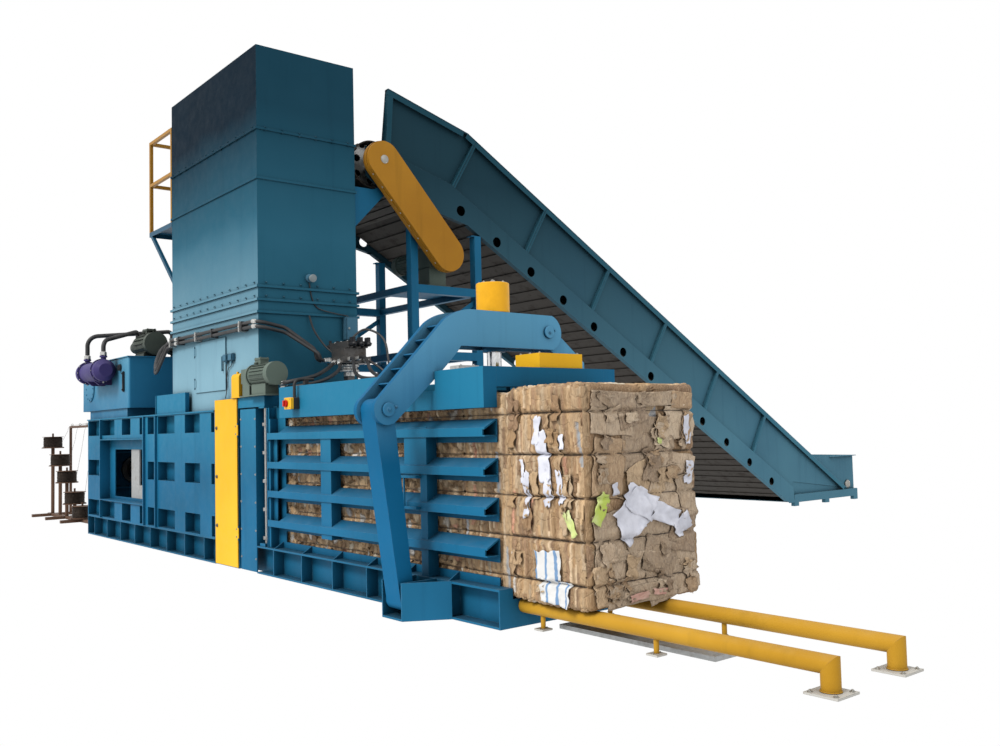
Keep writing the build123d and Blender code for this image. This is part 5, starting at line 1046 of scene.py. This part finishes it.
way, side = Vector((0, 0.89, -1.0)).normalized(), Vector((0, 1.0, 0.89)).normalized()
for n in range(8):
    for edge in (-0.216, 0.216):
        spot = Vector((0.616, head_y, head_z)) + way * (0.05 + 0.18 * n) + side * edge
        guard.bolt((0.632, spot.y, spot.z), ahead, 0.007, n)
guard.turned((0.676, head_y, head_z), ahead, ((0, 0.05), (0.003, 0.05), (0.005, 0.047)), 28)
guard.make("guard_bolts", bolt_steel)


# Wound wire on the spools and the wires drawn from them

spools = ((-9.15, 1.45), (-8.65, 1.13), (-8.22, 0.84), (-7.74, 0.49), (-7.28, 0.27))
flange_r, wire_turns = 0.147, 26
for n, (x, top) in enumerate(spools, 1):
    wound = Kit()
    outline = [(0.0, flange_r)]
    for k in range(wire_turns):
        rise = 0.174 * k / wire_turns
        bulge = 0.16 + 0.006 * chance(n, k)
        outline += [(rise + 0.0012, bulge - 0.005), (rise + 0.0034, bulge), (rise + 0.0056, bulge - 0.005)]
    wound.turned((x, -0.15, top - 0.19), upward, outline + [(0.176, flange_r)], 40)
    wound.make(f"wound_wire_{n}", wire_steel, f"spool_{n}")
drawn, eyes = Kit(), Kit()
for n, (x, top) in enumerate(spools):
    eye = 0.055 + 0.012 * n
    aside = 0.006 * n
    drawn.tube(smooth_path([
        (x, 0.012, top - 0.09), (x + 0.03, 0.09, (top + 1.6) / 2),
        (x + 0.1, 0.16 + 0.001 * n, 1.648 + 0.004 * n), (-7.2, 0.17, 1.652 + 0.004 * n),
        (-6.2, 0.42, 1.655 + eye), (-5.3, 0.64 + aside, 1.68 + eye), (-3.0, 0.648 + aside, 1.7 + eye),
        (-1.9, 0.655 + aside, 1.69 + eye), (-0.3, 0.652 + aside, 1.69 + eye),
        (0.77, 0.57 + 0.008 * n, 1.7),
    ], 5), 0.0022, 5)
for x in (-9.05, -8.55, -8.12, -7.64, -7.18):
    eyes.tube(circle((x, 0.16, 1.66), ahead, 0.018, 20), 0.004, 6)
drawn.make("drawn_wires", wire_steel)
eyes.make("wire_eyes", bolt_steel)


# Paper, film and torn board caught in the bales

sheet_step, most_steps, sheet_gauge = 0.014, 26, 0.0015


def tightness(z):
    """How close a height is to a wire: 1 under the wire, 0 between two wires."""
    return max(exp(-((z - level) / groove_half) ** 2) for level in wire_levels)


def bale_surface(side, along, z):
    """How far the front bale stands out from its box on its near side or its front."""
    if side is near:
        lift, bite = layer_height(along, z, 5)[0], groove_depth + swell_aside
    else:
        lift, bite = front_height(along + bale_high.x * front_slant, z)[0], groove_depth
    pull = tightness(z)
    return min(lift * (1 - pull) - bite * pull, most_lift) - skin_inset


def loose_sheet(kit, side, along, z, wide, tall, turn, seed, curl, ragged, tint, crumple, over):
    """A sheet that lies on a face of the bale, pulled in where a wire crosses it."""
    up = Matrix.Rotation(radians(turn), 3, side) @ upward
    aside = up.cross(side)
    count_u, count_v = [min(max(4, int(reach / sheet_step)), most_steps) for reach in (wide, tall)]
    rows = []
    for j in range(count_v + 1):
        row = []
        for i in range(count_u + 1):
            u, v = i / count_u - 0.5, j / count_v - 0.5
            rag = ripple(u * 4 + seed, v * 4, seed * 1.7) * ragged * 2
            offset = aside * (u * (1 + rag)) * wide + up * (v * (1 + rag)) * tall
            place = along + (offset.x if side is near else offset.y)
            height = z + offset.z
            rest = 1 - tightness(height)
            out = max(bale_surface(side, place + shift, height) for shift in (-0.018, 0.0, 0.018))
            rim = (max(abs(u), abs(v)) * 2) ** 4
            out += 0.002 + 0.0014 * over + rest * curl * rim * (0.5 + 0.5 * sin(seed * 3 + 5 * atan2(v, u)))
            fold = abs(ripple(u * wide * 14 + seed, v * tall * 14, 3.3))
            out += rest * (crumple * (1 - min(fold * 7, 1.0)) + crumple * fold)
            spot = (place, bale_low.y - out, height) if side is near else (bale_high.x + out, place, height)
            row.append(kit.mesh.verts.new(spot))
            kit.tints.append(tint)
        rows.append(row)
    for row, after in zip(rows, rows[1:]):
        for n in range(count_u):
            kit.mesh.faces.new((row[n], row[n + 1], after[n + 1], after[n]))


def sheet_object(kit, name, material):
    """A piece of tinted sheets with a real thickness."""
    piece = kit.make(name, material, sharp=50)
    tint_points(piece.data, kit.tints)
    thick = piece.modifiers.new("thickness", "SOLIDIFY")
    thick.thickness = sheet_gauge
    thick.offset = 0.0


flat_boxes = Kit()
grey_browns = (
    (0.37, 0.29, 0.21), (0.42, 0.33, 0.24), (0.3, 0.23, 0.165), (0.47, 0.37, 0.27),
    (0.36, 0.25, 0.155), (0.52, 0.42, 0.31), (0.26, 0.195, 0.14), (0.45, 0.33, 0.21),
)
large = (
    (0.1, 0.72, 0.62, 0.34, 12, 0), (-0.2, 0.42, 0.6, 0.3, -7, 3), (0.26, 0.36, 0.52, 0.3, 9, 1),
    (0.05, 1.28, 0.5, 0.34, 4, 2), (-0.34, 1.12, 0.3, 0.4, -6, 4), (0.28, 1.02, 0.42, 0.4, -14, 3),
    (-0.36, 0.66, 0.26, 0.34, 8, 0), (0.4, 1.42, 0.28, 0.24, 5, 5), (-0.3, 1.47, 0.4, 0.26, -4, 1),
    (0.02, 1.02, 0.34, 0.3, 22, 7), (0.38, 0.66, 0.26, 0.3, -9, 6), (-0.05, 0.27, 0.7, 0.12, 2, 1),
    (-0.1, 1.5, 0.3, 0.2, 14, 6), (0.14, 0.5, 0.34, 0.24, -18, 2), (-0.42, 0.36, 0.18, 0.26, 6, 7),
    (0.42, 0.9, 0.16, 0.3, 12, 0), (-0.28, 1.575, 0.44, 0.11, -2, 2), (0.14, 1.58, 0.4, 0.1, 3, 0),
    (0.4, 1.57, 0.2, 0.12, -5, 4),
)
for n, (y, z, wide, tall, turn, tone) in enumerate(large):
    room = 0.52 - wide / 2
    y = min(max(y, -room), room)
    tint = grey_browns[tone]
    loose_sheet(flat_boxes, ahead, y, z, wide, tall, turn, n + 2.2, 0.01, 0.04, tint, 0.007, n * 0.5)
for n in range(46):
    wide, tall = rng.uniform(0.05, 0.17), rng.uniform(0.05, 0.2)
    y, z = rng.uniform(-0.44, 0.44), rng.uniform(0.28, 1.6)
    if -0.36 < y and 0.58 < z < 1.04:
        continue
    tint = grey_browns[rng.randrange(8)]
    turn = rng.uniform(-40, 40)
    loose_sheet(flat_boxes, ahead, y, z, wide, tall, turn, n + 31.7, 0.026, 0.14, tint, 0.009, 8)
for n in range(20):
    wide, tall = rng.uniform(0.03, 0.09), rng.uniform(0.07, 0.22)
    x, z = rng.uniform(4.58, 5.18), rng.uniform(0.28, 1.58)
    tint = brown_tints[rng.randrange(8)]
    turn = rng.uniform(-9, 9)
    loose_sheet(flat_boxes, near, x, z, wide, tall, turn, n + 81.3, 0.022, 0.12, tint, 0.007, 1)
sheet_object(flat_boxes, "flattened_boxes", board)

white, green, stripe, pink = Kit(), Kit(), Kit(), Kit()
paper_tint = (0.66, 0.66, 0.66)
papers = (
    (white, near, (4.94, 1.21, 0.11, 0.34, 10), (4.98, 1.0, 0.07, 0.26, -4),
     (4.88, 1.38, 0.06, 0.2, -12), (5.09, 1.0, 0.06, 0.22, 6), (4.76, 0.94, 0.05, 0.32, -2),
     (4.72, 1.1, 0.04, 0.16, 4), (5.12, 1.3, 0.04, 0.1, 8)),
    (stripe, near, (4.96, 0.47, 0.24, 0.2, 3), (5.02, 0.3, 0.27, 0.16, -5)),
    (white, ahead, (-0.12, 0.8, 0.34, 0.26, 34), (-0.05, 0.88, 0.3, 0.18, -24),
     (0.2, 0.78, 0.26, 0.13, -20), (0.36, 0.7, 0.16, 0.12, 30), (0.44, 1.36, 0.06, 0.2, 5),
     (0.44, 1.06, 0.07, 0.16, -8)),
    (green, ahead, (-0.44, 0.86, 0.1, 0.22, -28)),
    (green, near, (5.19, 0.76, 0.08, 0.18, 30)),
    (pink, ahead, (-0.1, 0.255, 0.2, 0.05, 4), (0.1, 0.265, 0.12, 0.04, -5)),
    (green, ahead, (0.15, 1.29, 0.06, 0.05, 10)),
    (white, ahead, (-0.3, 0.98, 0.05, 0.08, 12)),
)
number = 0
for kit, side, *sheets in papers:
    over = 15 if side is ahead else 5
    for sheet in sheets:
        loose_sheet(kit, side, *sheet, number + 0.37, 0.012, 0.1, paper_tint, 0.005, over)
        number += 1
sheet_object(white, "white_papers", paper_white)
sheet_object(green, "green_papers", paper_green)
sheet_object(stripe, "striped_sack", paper_stripe)
sheet_object(pink, "pink_papers", paper_pink)
